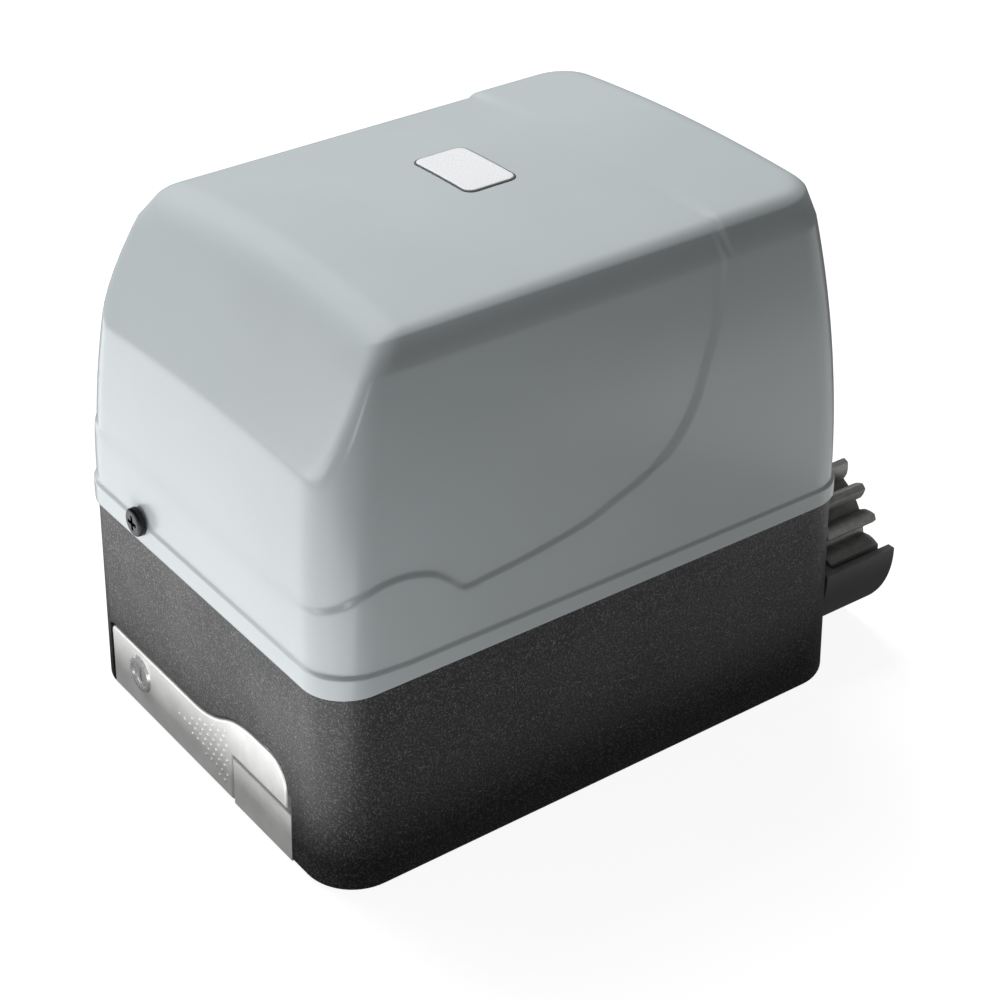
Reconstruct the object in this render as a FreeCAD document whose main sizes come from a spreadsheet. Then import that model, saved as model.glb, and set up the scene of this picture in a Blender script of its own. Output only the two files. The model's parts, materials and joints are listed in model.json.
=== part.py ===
import FreeCAD, Part
import math
import os
from types import SimpleNamespace

import Sketcher
from FreeCAD import Placement, Rotation, Vector

# Sliding gate motor: a worm-geared operator under a lift-off cover.
# Frame: X across the motor, Y from the release lever (-Y) to the rack pinion (+Y), Z up.
# The origin is the centre of the foundation bolt pattern, on the underside of the base.

os.makedirs("parts", exist_ok=True)
doc = FreeCAD.newDocument("SlidingGateMotor")

# ---------------------------------------------------------------- driving sizes, in millimetres
SIZES = [
    # base housing
    ("base_width", 189.3, "outside width of the base at the seam"),
    ("base_depth", 252.0, "outside depth of the base at the seam"),
    ("base_height", 88.8, "height of the seam above the underside"),
    ("base_flare", 2.6, "how far each wall leans out from the seam to the floor"),
    ("base_corner", 19.0, "radius of the upright corners of the base"),
    ("base_wall", 4.0, "thickness of the base walls"),
    ("base_floor", 5.0, "thickness of the base floor"),
    ("foot_round", 2.5, "rounding where the walls meet the underside"),
    ("lip_height", 5.0, "height of the locating lip inside the cover"),
    ("running_gap", 0.3, "gap between pieces that move past each other"),
    ("slot_spacing_across", 158.0, "foundation slots, centre to centre across the motor"),
    ("slot_spacing_along", 154.0, "foundation slots, centre to centre along the motor"),
    ("slot_length", 18.0, "foundation slot, end to end"),
    ("slot_width", 9.0, "foundation slot width, for an M8 stud"),
    ("collar_height", 3.0, "height of the raised collar round each slot"),
    ("collar_wall", 3.0, "wall of that collar"),
    ("rib_thick", 3.0, "thickness of the ribs inside the side walls"),
    ("rib_inset", 7.8, "inner edge of those ribs, in from the seam"),
    ("rib_drop", 12.0, "top of those ribs, below the seam"),
    # cover
    ("cover_overhang", 1.0, "how far the cover rim stands out past the seam of the base"),
    ("cover_wall", 2.5, "thickness of the cover"),
    ("rim_height", 8.0, "height of the rim band round the foot of the cover"),
    ("rim_step", 1.0, "how far the rim band stands proud"),
    ("side_bow", 725.0, "radius of the side and back walls in upright section"),
    ("front_bow", 540.0, "radius of the front wall in upright section"),
    ("panel_step", 1.5, "how far the lower rear flank stands proud of the upper front"),
    ("panel_step_front", 0.5, "the same step where it runs out across the front"),
    ("slant_foot_in", 9.5, "a point low on the slant: how far inside the seam's front edge it lies"),
    ("slant_foot_rise", 89.2, "its height above the seam"),
    ("slant_top_in", 36.0, "where the slant meets the roof: how far inside the front edge"),
    ("slant_top_rise", 135.7, "its height above the seam at mid width"),
    ("roof_rear_in", 6.0, "a point at the rear of the roof: how far inside the rear edge"),
    ("roof_rear_rise", 138.2, "its height above the seam at mid width"),
    ("roof_crown", 450.0, "crown radius of the roof across the motor"),
    ("rear_roof_crown", 640.0, "crown radius of the flatter rear band"),
    ("crease_round", 15.0, "rounding between slant and roof"),
    ("edge_round", 13.0, "rounding along the edges of the roof and the slant"),
    ("badge_length", 38.0, "bare badge, across the motor"),
    ("badge_width", 24.0, "bare badge, along the motor"),
    ("badge_thick", 0.8, "bare badge, how far it stands above the roof"),
    ("badge_x", -9.0, "centre of the badge across the motor"),
    ("badge_y", 7.0, "centre of the badge along the motor"),
    ("badge_corner", 4.0, "corner radius of the badge"),
    ("cover_screw_x", 43.0, "cover screws: front one at -X, rear one at +X"),
    ("cover_screw_rise", 10.2, "height of the cover screws above the seam"),
    ("cover_screw_radius", 2.5, "shank radius of the cover screws"),
    ("cover_head_radius", 6.0, "head radius of the cover screws"),
    ("lug_width", 16.0, "width of the lugs that take the cover screws"),
    ("lug_thick", 6.0, "thickness of those lugs"),
    # drive
    ("shaft_inset", 47.15, "output shaft, in from the side of the base"),
    ("shaft_z", 42.4, "output shaft height"),
    ("shaft_radius", 10.0, "output shaft radius"),
    ("fit_gap", 0.05, "radial clearance of running fits"),
    ("pinion_module", 4.0, "module of the rack pinion"),
    ("pinion_teeth", 16.0, "teeth of the rack pinion"),
    ("pinion_stand", 5.0, "near face of the pinion, out from the rear wall"),
    ("pinion_width", 27.7, "face width of the pinion"),
    ("guard_gap", 2.0, "gap between the pinion tips and the guard"),
    ("guard_wall", 3.5, "thickness of the pinion guard"),
    ("guard_past", 4.3, "how far the guard reaches past the pinion"),
    ("guard_rise", 2.3, "how far the guard edges rise above the shaft axis"),
    ("worm_module", 2.0, "axial module of the worm drive"),
    ("wheel_teeth", 28.0, "teeth of the worm wheel"),
    ("worm_pitch_radius", 10.0, "pitch radius of the worm"),
    ("wheel_inset", 68.0, "mid plane of the worm wheel and motor axis, in from the casing's rear face"),
    ("wheel_width", 16.0, "face width of the worm wheel"),
    ("wheel_clear", 2.0, "clearance round the worm wheel in its chamber"),
    ("casing_wall", 4.5, "wall of the gear casing"),
    ("casing_half", 21.0, "from the mid plane of the wheel to the casing's front joint face"),
    ("casing_inset", 8.0, "rear face of the gear casing, in from the rear of the base"),
    ("lid_thick", 8.0, "thickness of the gear casing lid"),
    ("front_bearing_outer", 17.5, "outer radius of the front shaft bearing"),
    ("front_bearing_inner", 8.5, "bore radius of the front shaft bearing"),
    ("front_bearing_width", 10.0, "width of the front shaft bearing"),
    ("rear_bearing_outer", 21.0, "outer radius of the rear shaft bearing"),
    ("rear_bearing_width", 12.0, "width of the rear shaft bearing"),
    ("rear_bearing_inset", 20.0, "near face of the rear shaft bearing, in from the casing's rear face"),
    ("seal_outer", 17.5, "outer radius of the shaft seal"),
    ("seal_width", 7.0, "width of the shaft seal"),
    ("clutch_radius", 18.0, "outer radius of the release clutch collar"),
    ("clutch_length", 14.0, "length of the collar without its dogs"),
    ("clutch_travel", 6.0, "release travel of the collar"),
    ("dog_length", 4.7, "engagement of the clutch dogs"),
    ("clutch_pin_radius", 2.5, "radius of the cross pin"),
    ("spring_wire", 1.2, "radius of the clutch spring wire"),
    ("spring_radius", 13.5, "mean radius of the clutch spring"),
    ("spring_turns", 4.0, "turns of the clutch spring"),
    ("rod_radius", 4.0, "radius of the release rod"),
    # motor
    ("motor_side", 94.0, "side of the square stator stack"),
    ("motor_corner", 22.0, "corner radius of the stator stack"),
    ("motor_sunk", 0.8, "how far the joint of motor and gear casing lies below the seam"),
    ("shield_height", 24.0, "height of each end shield"),
    ("shield_wall", 5.0, "end wall of the shields"),
    ("stack_height", 50.0, "height of the stator stack"),
    ("stator_depth", 20.0, "from the rotor to the flat sides of the stack"),
    ("air_gap", 0.4, "gap between rotor and stator"),
    ("motor_bolt_inset", 10.0, "motor bolts, in from both sides of the stator stack"),
    ("motor_bolt_radius", 2.5, "shank radius of the motor bolts"),
    ("worm_bearing_outer", 16.0, "outer radius of the bearing under the worm"),
    ("worm_bearing_inner", 6.0, "bore radius of the bearing under the worm"),
    ("motor_bearing_outer", 17.5, "outer radius of the bearings in the end shields"),
    ("motor_shaft_radius", 7.5, "radius of the motor shaft"),
    ("motor_bearing_width", 11.0, "width of the bearings in the end shields"),
    # key release
    ("lever_left_inset", 17.65, "left end of the release lever, in from the side of the base"),
    ("lever_end_reach", 14.0, "right end of the lever, past the shaft axis"),
    ("lever_foot", 1.2, "underside of the lever"),
    ("lever_low_top", 31.0, "top of the lever's low part"),
    ("lever_high_top", 43.0, "top of the lever's high right end"),
    ("lever_rise_start", 56.0, "where the top edge starts to rise, left of the shaft axis"),
    ("lever_rise_end", 9.5, "where it has risen, left of the shaft axis"),
    ("lever_end_round", 11.5, "rounding of the high right end"),
    ("lever_step_back", 27.0, "edge of the lever beside the pivot block, left of the shaft axis"),
    ("lever_step_z", 23.5, "edge of the lever above the pivot block"),
    ("lever_plate", 4.0, "thickness of the lever's face"),
    ("lever_play", 1.0, "gap between the lever's rim and the rear of the recess"),
    ("lever_rim", 2.5, "thickness of that rim"),
    ("lever_edge", 1.2, "rounding of the lever's front edges"),
    ("lever_gap", 1.5, "gap round the lever in its recess"),
    ("recess_depth", 8.5, "depth of the lever recess, from the front edge of the seam"),
    ("recess_wall", 3.5, "wall behind the recess"),
    ("pivot_inset", 7.0, "lever pivot, in from the front edge of the seam; it stands on the shaft axis in X"),
    ("pivot_radius", 3.0, "radius of the pivot pin"),
    ("hub_radius", 7.5, "radius of the lever hub"),
    ("hub_top", 43.5, "top of the lever hub and cam"),
    ("cam_radius", 9.0, "cam radius at rest"),
    ("cam_gap", 1.0, "gap between cam and rod"),
    ("cam_thick", 7.5, "height of the cam"),
    ("pocket_right_reach", 19.0, "right side of the pocket for the hub and cam, past the shaft axis"),
    ("pocket_left_reach", 17.5, "left side of that pocket, before the shaft axis"),
    ("pocket_depth", 24.5, "depth of that pocket, from the front edge of the seam"),
    ("pivot_pocket_top", 50.0, "roof of that pocket"),
    ("block_top", 22.0, "top of the fixed pivot block"),
    ("block_right_reach", 17.5, "right side of the pivot block, past the shaft axis"),
    ("block_left_reach", 25.3, "left side of the pivot block, before the shaft axis"),
    ("lock_inset", 24.0, "lock axis, in from the left end of the lever"),
    ("lock_z", 19.0, "lock axis height"),
    ("lock_case_radius", 8.5, "radius of the lock case"),
    ("lock_plug_radius", 5.5, "radius of the lock plug"),
    ("tongue_reach", 12.5, "reach of the lock tongue"),
    ("tongue_thick", 2.5, "thickness of the lock tongue"),
    # electrics
    ("small_screw_radius", 2.0, "shank radius of the M4 screws"),
    ("tray_thick", 2.5, "thickness of the board tray"),
    ("tray_margin", 24.0, "how far the tray reaches behind the board"),
    ("standoff", 6.0, "height of the posts under the board"),
    ("board_length", 130.0, "control board, across the motor"),
    ("board_width", 70.0, "control board, along the motor"),
    ("board_thick", 1.6, "control board thickness"),
    ("board_inset", 24.0, "front edge of the control board, in from the front edge of the seam"),
    ("grommet_x", -40.0, "cable entry, across the motor"),
    ("grommet_bore", 11.0, "bore radius of the cable grommet"),
    ("grommet_seat", 17.0, "radius of the floor hole for the grommet"),
    ("capacitor_gap", 7.15, "gap between the run capacitor and the side wall at the seam"),
    ("capacitor_y", 42.0, "run capacitor, along the motor"),
    ("capacitor_radius", 17.5, "radius of the run capacitor"),
    ("capacitor_height", 78.0, "height of the run capacitor"),
    ("transformer_x", -28.0, "centre of the transformer across the motor"),
    ("transformer_inset", 58.0, "centre of the transformer, in from the front edge of the seam"),
]

sheet = doc.addObject("Spreadsheet::Sheet", "Sizes")
for row, (alias, number, meaning) in enumerate(SIZES, start=1):
    sheet.set(f"A{row}", meaning)
    sheet.set(f"B{row}", str(number))
    sheet.setAlias(f"B{row}", alias)
doc.recompute()


def formula_of(number):
    """The sheet formula of a Size, or the plain number."""
    return number.formula if isinstance(number, Size) else f"({float(number)})"


class Size(float):
    """A number that remembers the sheet formula it was worked out with."""

    def __new__(cls, number, formula):
        made = super().__new__(cls, number)
        made.formula = formula
        return made

    def __add__(self, other):
        return Size(float(self) + float(other), f"({self.formula} + {formula_of(other)})")

    def __radd__(self, other):
        return Size(float(other) + float(self), f"({formula_of(other)} + {self.formula})")

    def __sub__(self, other):
        return Size(float(self) - float(other), f"({self.formula} - {formula_of(other)})")

    def __rsub__(self, other):
        return Size(float(other) - float(self), f"({formula_of(other)} - {self.formula})")

    def __mul__(self, other):
        return Size(float(self) * float(other), f"({self.formula} * {formula_of(other)})")

    __rmul__ = __mul__

    def __truediv__(self, other):
        return Size(float(self) / float(other), f"({self.formula} / {formula_of(other)})")

    def __neg__(self):
        return Size(-float(self), f"(0 - {self.formula})")


d = SimpleNamespace(**{alias: Size(number, f"Sizes.{alias}") for alias, number, _ in SIZES})


# ---------------------------------------------------------------- small helpers
SUB_PARTS = []
ALONG = {"X": Rotation(Vector(0, 1, 0), 90), "Y": Rotation(Vector(1, 0, 0), -90), "Z": Rotation()}


def sub_part(obj, node):
    """Name an object as one finished sub-part."""
    obj.Label = node
    SUB_PARTS.append(obj)
    return obj


def bind(obj, prop, number):
    """Set a property, and keep it bound to the sheet when the number came from there."""
    if isinstance(number, Size):
        obj.setExpression(prop, number.formula)
    else:
        setattr(obj, prop, number)


def place(obj, x, y, z, turn=Rotation()):
    """Put an object at a point; each coordinate from the sheet stays bound to it."""
    obj.Placement = Placement(Vector(x, y, z), turn)
    for axis, number in zip("xyz", (x, y, z)):
        if isinstance(number, Size):
            obj.setExpression(f"Placement.Base.{axis}", number.formula)


def on_axis(axis, along, u, v):
    """A point from its distance along an axis and its other two coordinates in X, Y, Z order."""
    return {"X": (along, u, v), "Y": (u, along, v), "Z": (u, v, along)}[axis]


def box(name, x, y, z):
    """A block; x, y and z are its (low, high) bounds."""
    obj = doc.addObject("Part::Box", name)
    for prop, (low, high) in zip(("Length", "Width", "Height"), (x, y, z)):
        bind(obj, prop, high - low)
    place(obj, x[0], y[0], z[0])
    return obj


def bar(name, axis, radius, span, u, v):
    """A round bar along an axis between two bounds, through (u, v) on the other two axes."""
    obj = doc.addObject("Part::Cylinder", name)
    bind(obj, "Radius", radius)
    bind(obj, "Height", span[1] - span[0])
    place(obj, *on_axis(axis, span[0], u, v), ALONG[axis])
    return obj


def fuse(name, *pieces):
    obj = doc.addObject("Part::MultiFuse", name)
    obj.Shapes = list(pieces)
    obj.Refine = True
    return obj


def cut(name, body, *tools):
    obj = doc.addObject("Part::Cut", name)
    obj.Base = body
    obj.Tool = tools[0] if len(tools) == 1 else fuse(name + "_tools", *tools)
    return obj


def solid(node, shape):
    """A sub-part whose form neither PartDesign nor the primitives give."""
    obj = doc.addObject("Part::Feature", node)
    obj.Shape = shape
    return sub_part(obj, node)


def plane_of(body, role):
    return next(f for f in body.Origin.OriginFeatures if f.Role == role)


def sketch_on(body, role, name, offset=0):
    """A sketch on one of the body's own origin planes, lifted off it by an offset."""
    sketch = body.newObject("Sketcher::SketchObject", name)
    sketch.AttachmentSupport = [(plane_of(body, role), "")]
    sketch.MapMode = "FlatFace"
    if isinstance(offset, Size):
        sketch.setExpression("AttachmentOffset.Base.z", offset.formula)
    return sketch


def dimension(sketch, kind, *reference_and_number):
    """A driving dimension bound to the sheet."""
    *reference, number = reference_and_number
    index = sketch.addConstraint(Sketcher.Constraint(kind, *reference, float(number)))
    if isinstance(number, Size):
        sketch.setExpression(f"Constraints[{index}]", number.formula)


def pin_point(sketch, curve, end, x, y):
    """Tie a point to the sketch origin; on an axis it is held by that axis."""
    for kind, axis, number in (("DistanceX", -2, x), ("DistanceY", -1, y)):
        if number == 0:
            sketch.addConstraint(Sketcher.Constraint("PointOnObject", curve, end, axis))
        elif number > 0:
            dimension(sketch, kind, -1, 1, curve, end, number)
        else:
            dimension(sketch, kind, curve, end, -1, 1, -number)


def draw_loop(sketch, corners):
    """A closed loop of straight lines with every corner tied to the sheet."""
    first = sketch.GeometryCount
    count = len(corners)
    for i in range(count):
        a, b = corners[i], corners[(i + 1) % count]
        sketch.addGeometry(Part.LineSegment(Vector(a[0], a[1], 0), Vector(b[0], b[1], 0)))
    for i in range(count):
        after = first + (i + 1) % count
        sketch.addConstraint(Sketcher.Constraint("Coincident", first + i, 2, after, 1))
        pin_point(sketch, first + i, 1, *corners[i])


def draw_circle(sketch, x, y, radius):
    curve = sketch.addGeometry(Part.Circle(Vector(x, y, 0), Vector(0, 0, 1), float(radius)))
    dimension(sketch, "Radius", curve, radius)
    if x == 0 and y == 0:
        sketch.addConstraint(Sketcher.Constraint("Coincident", curve, 3, -1, 1))
    else:
        pin_point(sketch, curve, 3, x, y)


def draw_rounded(sketch, half_x, half_y, radius, centre_x=0, centre_y=0):
    """A rounded rectangle: four sides and four tangent corner arcs."""
    first = sketch.GeometryCount
    cx, cy, hx, hy, r = (float(n) for n in (centre_x, centre_y, half_x, half_y, radius))
    sides = [((-hx + r, -hy), (hx - r, -hy)), ((hx, -hy + r), (hx, hy - r)),
             ((hx - r, hy), (-hx + r, hy)), ((-hx, hy - r), (-hx, -hy + r))]
    corners = [(hx - r, -hy + r, 270), (hx - r, hy - r, 0), (-hx + r, hy - r, 90), (-hx + r, -hy + r, 180)]
    for (ax, ay), (bx, by) in sides:
        sketch.addGeometry(Part.LineSegment(Vector(cx + ax, cy + ay, 0), Vector(cx + bx, cy + by, 0)))
    for ox, oy, start in corners:
        circle = Part.Circle(Vector(cx + ox, cy + oy, 0), Vector(0, 0, 1), r)
        begin = math.radians(start)
        sketch.addGeometry(Part.ArcOfCircle(circle, begin, begin + math.pi / 2))
    for i in range(4):
        arc = first + 4 + i
        sketch.addConstraint(Sketcher.Constraint("Tangent", first + i, 2, arc, 1))
        sketch.addConstraint(Sketcher.Constraint("Tangent", arc, 2, first + (i + 1) % 4, 1))
        kind = "Horizontal" if i % 2 == 0 else "Vertical"
        sketch.addConstraint(Sketcher.Constraint(kind, first + i))
        if i:
            sketch.addConstraint(Sketcher.Constraint("Equal", first + 4, arc))
    dimension(sketch, "Radius", first + 4, radius)
    dimension(sketch, "DistanceX", -1, 1, first + 1, 1, centre_x + half_x)
    dimension(sketch, "DistanceX", first + 3, 1, -1, 1, half_x - centre_x)
    dimension(sketch, "DistanceY", -1, 1, first + 2, 1, centre_y + half_y)
    dimension(sketch, "DistanceY", first, 1, -1, 1, half_y - centre_y)


def turned(node, axis, start, u, v, profile):
    """A body turned about an axis, from (radius, distance from start) corners of its half section."""
    body = doc.addObject("PartDesign::Body", node)
    sketch = sketch_on(body, "XZ_Plane", node + "_section")
    draw_loop(sketch, profile)
    turn = body.newObject("PartDesign::Revolution", node + "_turn")
    turn.Profile = sketch
    turn.ReferenceAxis = (sketch, ["V_Axis"])
    turn.Angle = 360
    place(body, *on_axis(axis, start, u, v), ALONG[axis])
    return body


def pad(body, sketch, name, length, taper=None):
    feature = body.newObject("PartDesign::Pad", name)
    feature.Profile = sketch
    bind(feature, "Length", length)
    if taper is not None:
        feature.setExpression("TaperAngle", taper)
    return feature


def pocket(body, sketch, name, length=None, upward=False, taper=None):
    """Cut a sketch away, through everything when no length is given."""
    feature = body.newObject("PartDesign::Pocket", name)
    feature.Profile = sketch
    if length is None:
        feature.Type = 1
    else:
        bind(feature, "Length", length)
    feature.Reversed = upward
    if taper is not None:
        feature.setExpression("TaperAngle", taper)
    return feature


def ring_profile(inner, outer, length, chamfer):
    """The half section of a bearing or bush with broken outer edges."""
    return [(inner, 0), (outer - chamfer, 0), (outer, chamfer), (outer, length - chamfer),
            (outer - chamfer, length), (inner, length)]


# ---------------------------------------------------------------- derived places
half_width = d.base_width / 2
half_depth = d.base_depth / 2
lean = d.base_flare / d.base_height

d.cover_width = d.base_width + 2 * d.cover_overhang
d.cover_depth = d.base_depth + 2 * d.cover_overhang
d.cover_corner = d.base_corner + d.cover_overhang
d.slant_foot_y = d.slant_foot_in - half_depth
d.slant_foot_z = d.base_height + d.slant_foot_rise
d.slant_top_y = d.slant_top_in - half_depth
d.slant_top_z = d.base_height + d.slant_top_rise
d.roof_rear_y = half_depth - d.roof_rear_in
d.roof_rear_z = d.base_height + d.roof_rear_rise
d.cover_screw_z = d.base_height + d.cover_screw_rise

d.shaft_x = half_width - d.shaft_inset
d.casing_rear = half_depth - d.casing_inset
d.wheel_y = d.casing_rear - d.wheel_inset
d.casing_front = d.wheel_y - d.casing_half
d.rear_bearing_y = d.casing_rear - d.rear_bearing_inset
d.pinion_near = half_depth + d.pinion_stand
d.guard_reach = d.pinion_near + d.pinion_width + d.guard_past
d.motor_foot = d.base_height - d.motor_sunk
d.motor_bolt_offset = d.motor_side / 2 - d.motor_bolt_inset
d.rotor_radius = d.motor_side / 2 - d.stator_depth

d.lever_left = d.lever_left_inset - half_width
d.lever_right = d.shaft_x + d.lever_end_reach
d.lever_rise_from = d.shaft_x - d.lever_rise_start
d.lever_rise_to = d.shaft_x - d.lever_rise_end
d.lever_step_x = d.shaft_x - d.lever_step_back
d.recess_back = d.recess_depth - half_depth
d.lever_back = d.recess_back - d.lever_play
d.pivot_y = d.pivot_inset - half_depth
d.pivot_pocket_right = d.shaft_x + d.pocket_right_reach
d.pivot_pocket_left = d.shaft_x - d.pocket_left_reach
d.pivot_pocket_back = d.pocket_depth - half_depth
d.block_right = d.shaft_x + d.block_right_reach
d.block_left = d.shaft_x - d.block_left_reach
d.lock_x = d.lever_left + d.lock_inset

d.board_front = d.board_inset - half_depth
d.tray_rear = d.board_front + d.board_width + d.tray_margin
d.capacitor_x = d.base_wall + d.capacitor_radius + d.capacitor_gap - half_width
d.transformer_y = d.transformer_inset - half_depth

lip_half_x = d.cover_width / 2 - d.cover_wall - d.running_gap
lip_half_y = d.cover_depth / 2 - d.cover_wall - d.running_gap
cover_inside_y = d.cover_depth / 2 - d.rim_step - d.panel_step_front - d.cover_wall
lug_face = cover_inside_y - 2 * d.running_gap
worm_x = d.shaft_x - (d.wheel_teeth * d.worm_module / 2 + d.worm_pitch_radius)
wheel_tip = d.worm_module * (d.wheel_teeth / 2 + 1)
chamber_radius = wheel_tip + d.wheel_clear
casing_radius = chamber_radius + d.casing_wall
pinion_tip = d.pinion_module * (d.pinion_teeth / 2 + 1)
wheel_rear = d.wheel_y + d.wheel_width / 2
wheel_front = d.wheel_y - d.wheel_width / 2
collar_front = wheel_rear + 2
strap_reach = 34.0
clutch_pin_y = collar_front + d.clutch_length / 2
guard_spots = [(d.shaft_x + 24 * math.cos(math.radians(a)), d.shaft_z + 24 * math.sin(math.radians(a)))
               for a in (-30, -90, -150)]


def lean_out(height):
    """How far the base wall stands outside its seam position at a height."""
    return d.base_flare * (1 - height / d.base_height)


def rounded_wire(half_x, half_y, radius, height):
    """A rounded rectangle as a wire at a height."""
    spots = [(half_x - radius, -half_y), (half_x, -half_y + radius), (half_x, half_y - radius),
             (half_x - radius, half_y), (-half_x + radius, half_y), (-half_x, half_y - radius),
             (-half_x, -half_y + radius), (-half_x + radius, -half_y)]
    points = [Vector(x, y, height) for x, y in spots]
    slack = radius * (1 - math.sqrt(0.5))
    edges = []
    for i, (sx, sy) in enumerate(((1, -1), (1, 1), (-1, 1), (-1, -1))):
        a, b = points[2 * i], points[2 * i + 1]
        middle = Vector(sx * (half_x - slack), sy * (half_y - slack), height)
        edges.append(Part.Arc(a, middle, b).toShape())
        edges.append(Part.makeLine(b, points[(2 * i + 2) % 8]))
    return Part.Wire(edges)


def base_form():
    """The outside of the base as one leaning block, to trim what lies flush with it."""
    foot = rounded_wire(half_width + d.base_flare, half_depth + d.base_flare,
                        d.base_corner + d.base_flare, 0)
    seam = rounded_wire(half_width, half_depth, d.base_corner, d.base_height)
    return Part.makeLoft([foot, seam], True, True)


# ---------------------------------------------------------------- lever outline, shared with its recess
def lever_face():
    """The front outline of the release lever: low at the left, rising in an S to a high right end."""
    run = (d.lever_rise_to - d.lever_rise_from) / 2
    rise = (d.lever_high_top - d.lever_low_top) / 2
    bend = (run * run + rise * rise) / (2 * rise)
    half = math.asin(run / bend) / 2
    end = float(d.lever_end_round)
    small = 3.0

    def at(x, z):
        return Vector(x, 0, z)

    def arc(a, b, c):
        return Part.Arc(a, b, c).toShape()

    left, right, foot = d.lever_left, d.lever_right, d.lever_foot
    low, high = d.lever_low_top, d.lever_high_top
    start = at(d.lever_rise_from, low)
    middle = at(d.lever_rise_from + run, low + rise)
    finish = at(d.lever_rise_to, high)
    sway, lift = bend * math.sin(half), bend * (1 - math.cos(half))
    slack = 1 - math.sqrt(0.5)
    corner = at(left + small, low)
    high_end = at(right - end, high)
    high_side = at(right, high - end)
    spots = [at(right, d.lever_step_z), at(d.lever_step_x, d.lever_step_z), at(d.lever_step_x, foot),
             at(left, foot), at(left, low - small)]
    edges = [
        arc(at(left, low - small), at(left + small * slack, low - small * slack), corner),
        Part.makeLine(corner, start),
        arc(start, at(d.lever_rise_from + sway, low + lift), middle),
        arc(middle, at(d.lever_rise_to - sway, high - lift), finish),
        Part.makeLine(finish, high_end),
        arc(high_end, at(right - end * slack, high - end * slack), high_side),
        Part.makeLine(high_side, spots[0]),
    ]
    edges += [Part.makeLine(a, b) for a, b in zip(spots, spots[1:])]
    return Part.Face(Part.Wire(edges))


def slab(face, near, far):
    """A face in the plane y = 0 made solid between two distances along Y."""
    moved = face.copy()
    moved.translate(Vector(0, near, 0))
    return moved.extrude(Vector(0, far - near, 0))


def block(x, y, z):
    """A plain block between (low, high) bounds, for use in a worked-out shape."""
    corner = Vector(x[0], y[0], z[0])
    return Part.makeBox(x[1] - x[0], y[1] - y[0], z[1] - z[0], corner)


def pillar(radius, low, high, x, y):
    return Part.makeCylinder(radius, high - low, Vector(x, y, low))


def spigot(radius, near, far, x, z):
    return Part.makeCylinder(radius, far - near, Vector(x, near, z), Vector(0, 1, 0))


FRONT = -1.25 * half_depth

# ---------------------------------------------------------------- base housing
tub = doc.addObject("PartDesign::Body", "tub")
foot_sketch = sketch_on(tub, "XY_Plane", "tub_foot")
draw_rounded(foot_sketch, half_width + d.base_flare, half_depth + d.base_flare, d.base_corner + d.base_flare)
inward = f"-1 * atan({lean.formula})"
tub_block = pad(tub, foot_sketch, "tub_block", d.base_height, inward)
doc.recompute()
foot_edges = [f"Edge{i}" for i, e in enumerate(tub_block.Shape.Edges, 1) if e.BoundBox.ZMax < 0.001]
foot = tub.newObject("PartDesign::Fillet", "tub_foot_rounding")
foot.Base = (tub_block, foot_edges)
bind(foot, "Radius", d.foot_round)
inner_sketch = sketch_on(tub, "XY_Plane", "tub_inside", d.base_floor)
inner_lean = lean_out(d.base_floor) - d.base_wall
draw_rounded(inner_sketch, half_width + inner_lean, half_depth + inner_lean, d.base_corner + inner_lean)
hollow = pocket(tub, inner_sketch, "tub_hollow", d.base_height, True, inward)
lip_sketch = sketch_on(tub, "XY_Plane", "tub_lip", d.base_height - 1)
draw_rounded(lip_sketch, lip_half_x, lip_half_y, d.cover_corner - d.cover_wall - d.running_gap)
draw_rounded(lip_sketch, half_width - d.base_wall, half_depth - d.base_wall, d.base_corner - d.base_wall)
lip = pad(tub, lip_sketch, "tub_lip_wall", d.lip_height + 1)

# floor openings: four collared slots for the foundation studs, and the cable entry
slot_arm = d.slot_length / 2
slot_centres = [(d.slot_spacing_across * (side / 2), d.slot_spacing_along * (end / 2))
                for side in (-1, 1) for end in (-1, 1)]
collar_sketch = sketch_on(tub, "XY_Plane", "tub_collar_outlines", d.base_floor - 1)
for x, y in slot_centres:
    draw_rounded(collar_sketch, slot_arm + d.collar_wall, d.slot_width / 2 + d.collar_wall,
                 d.slot_width / 2 + d.collar_wall - 0.01, x, y)
pad(tub, collar_sketch, "tub_collars", d.collar_height + 1)
floor_sketch = sketch_on(tub, "XY_Plane", "tub_floor_holes")
draw_circle(floor_sketch, d.grommet_x, 0, d.grommet_seat)
for x, y in slot_centres:
    draw_rounded(floor_sketch, slot_arm, d.slot_width / 2, d.slot_width / 2 - 0.01, x, y)
for side in (-1, 1):
    draw_circle(floor_sketch, d.transformer_x + side * strap_reach, d.transformer_y, d.small_screw_radius)
floor_holes = pocket(tub, floor_sketch, "tub_floor_cut", d.base_floor + d.collar_height + 1, True)

# what stands inside the tub
back_top = d.lever_high_top + 5
recess_block = box("recess_block", (d.lever_left - 6, d.pivot_pocket_right + 3.5),
                   (-half_depth + 1, d.recess_back + d.recess_wall), (0, back_top))
pivot_block_wall = box("pivot_wall", (d.pivot_pocket_left - 3.5, d.pivot_pocket_right + 3.5),
                       (-half_depth + 1, d.pivot_pocket_back + 4), (0, d.pivot_pocket_top + 4))
lock_room_back = d.recess_back + 14
lock_wall = box("lock_wall", (d.lock_x - 18, d.lock_x + 16), (d.recess_back, lock_room_back + 4),
                (0, d.lock_z + 16))
front_lug = box("front_lug", (-d.cover_screw_x - d.lug_width / 2, -d.cover_screw_x + d.lug_width / 2),
                (-lug_face, -lug_face + d.lug_thick), (d.base_height - 14, d.cover_screw_z + 9))
rear_lug = box("rear_lug", (d.cover_screw_x - d.lug_width / 2, d.cover_screw_x + d.lug_width / 2),
               (lug_face - d.lug_thick, lug_face), (d.base_height - 14, d.cover_screw_z + 9))
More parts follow.
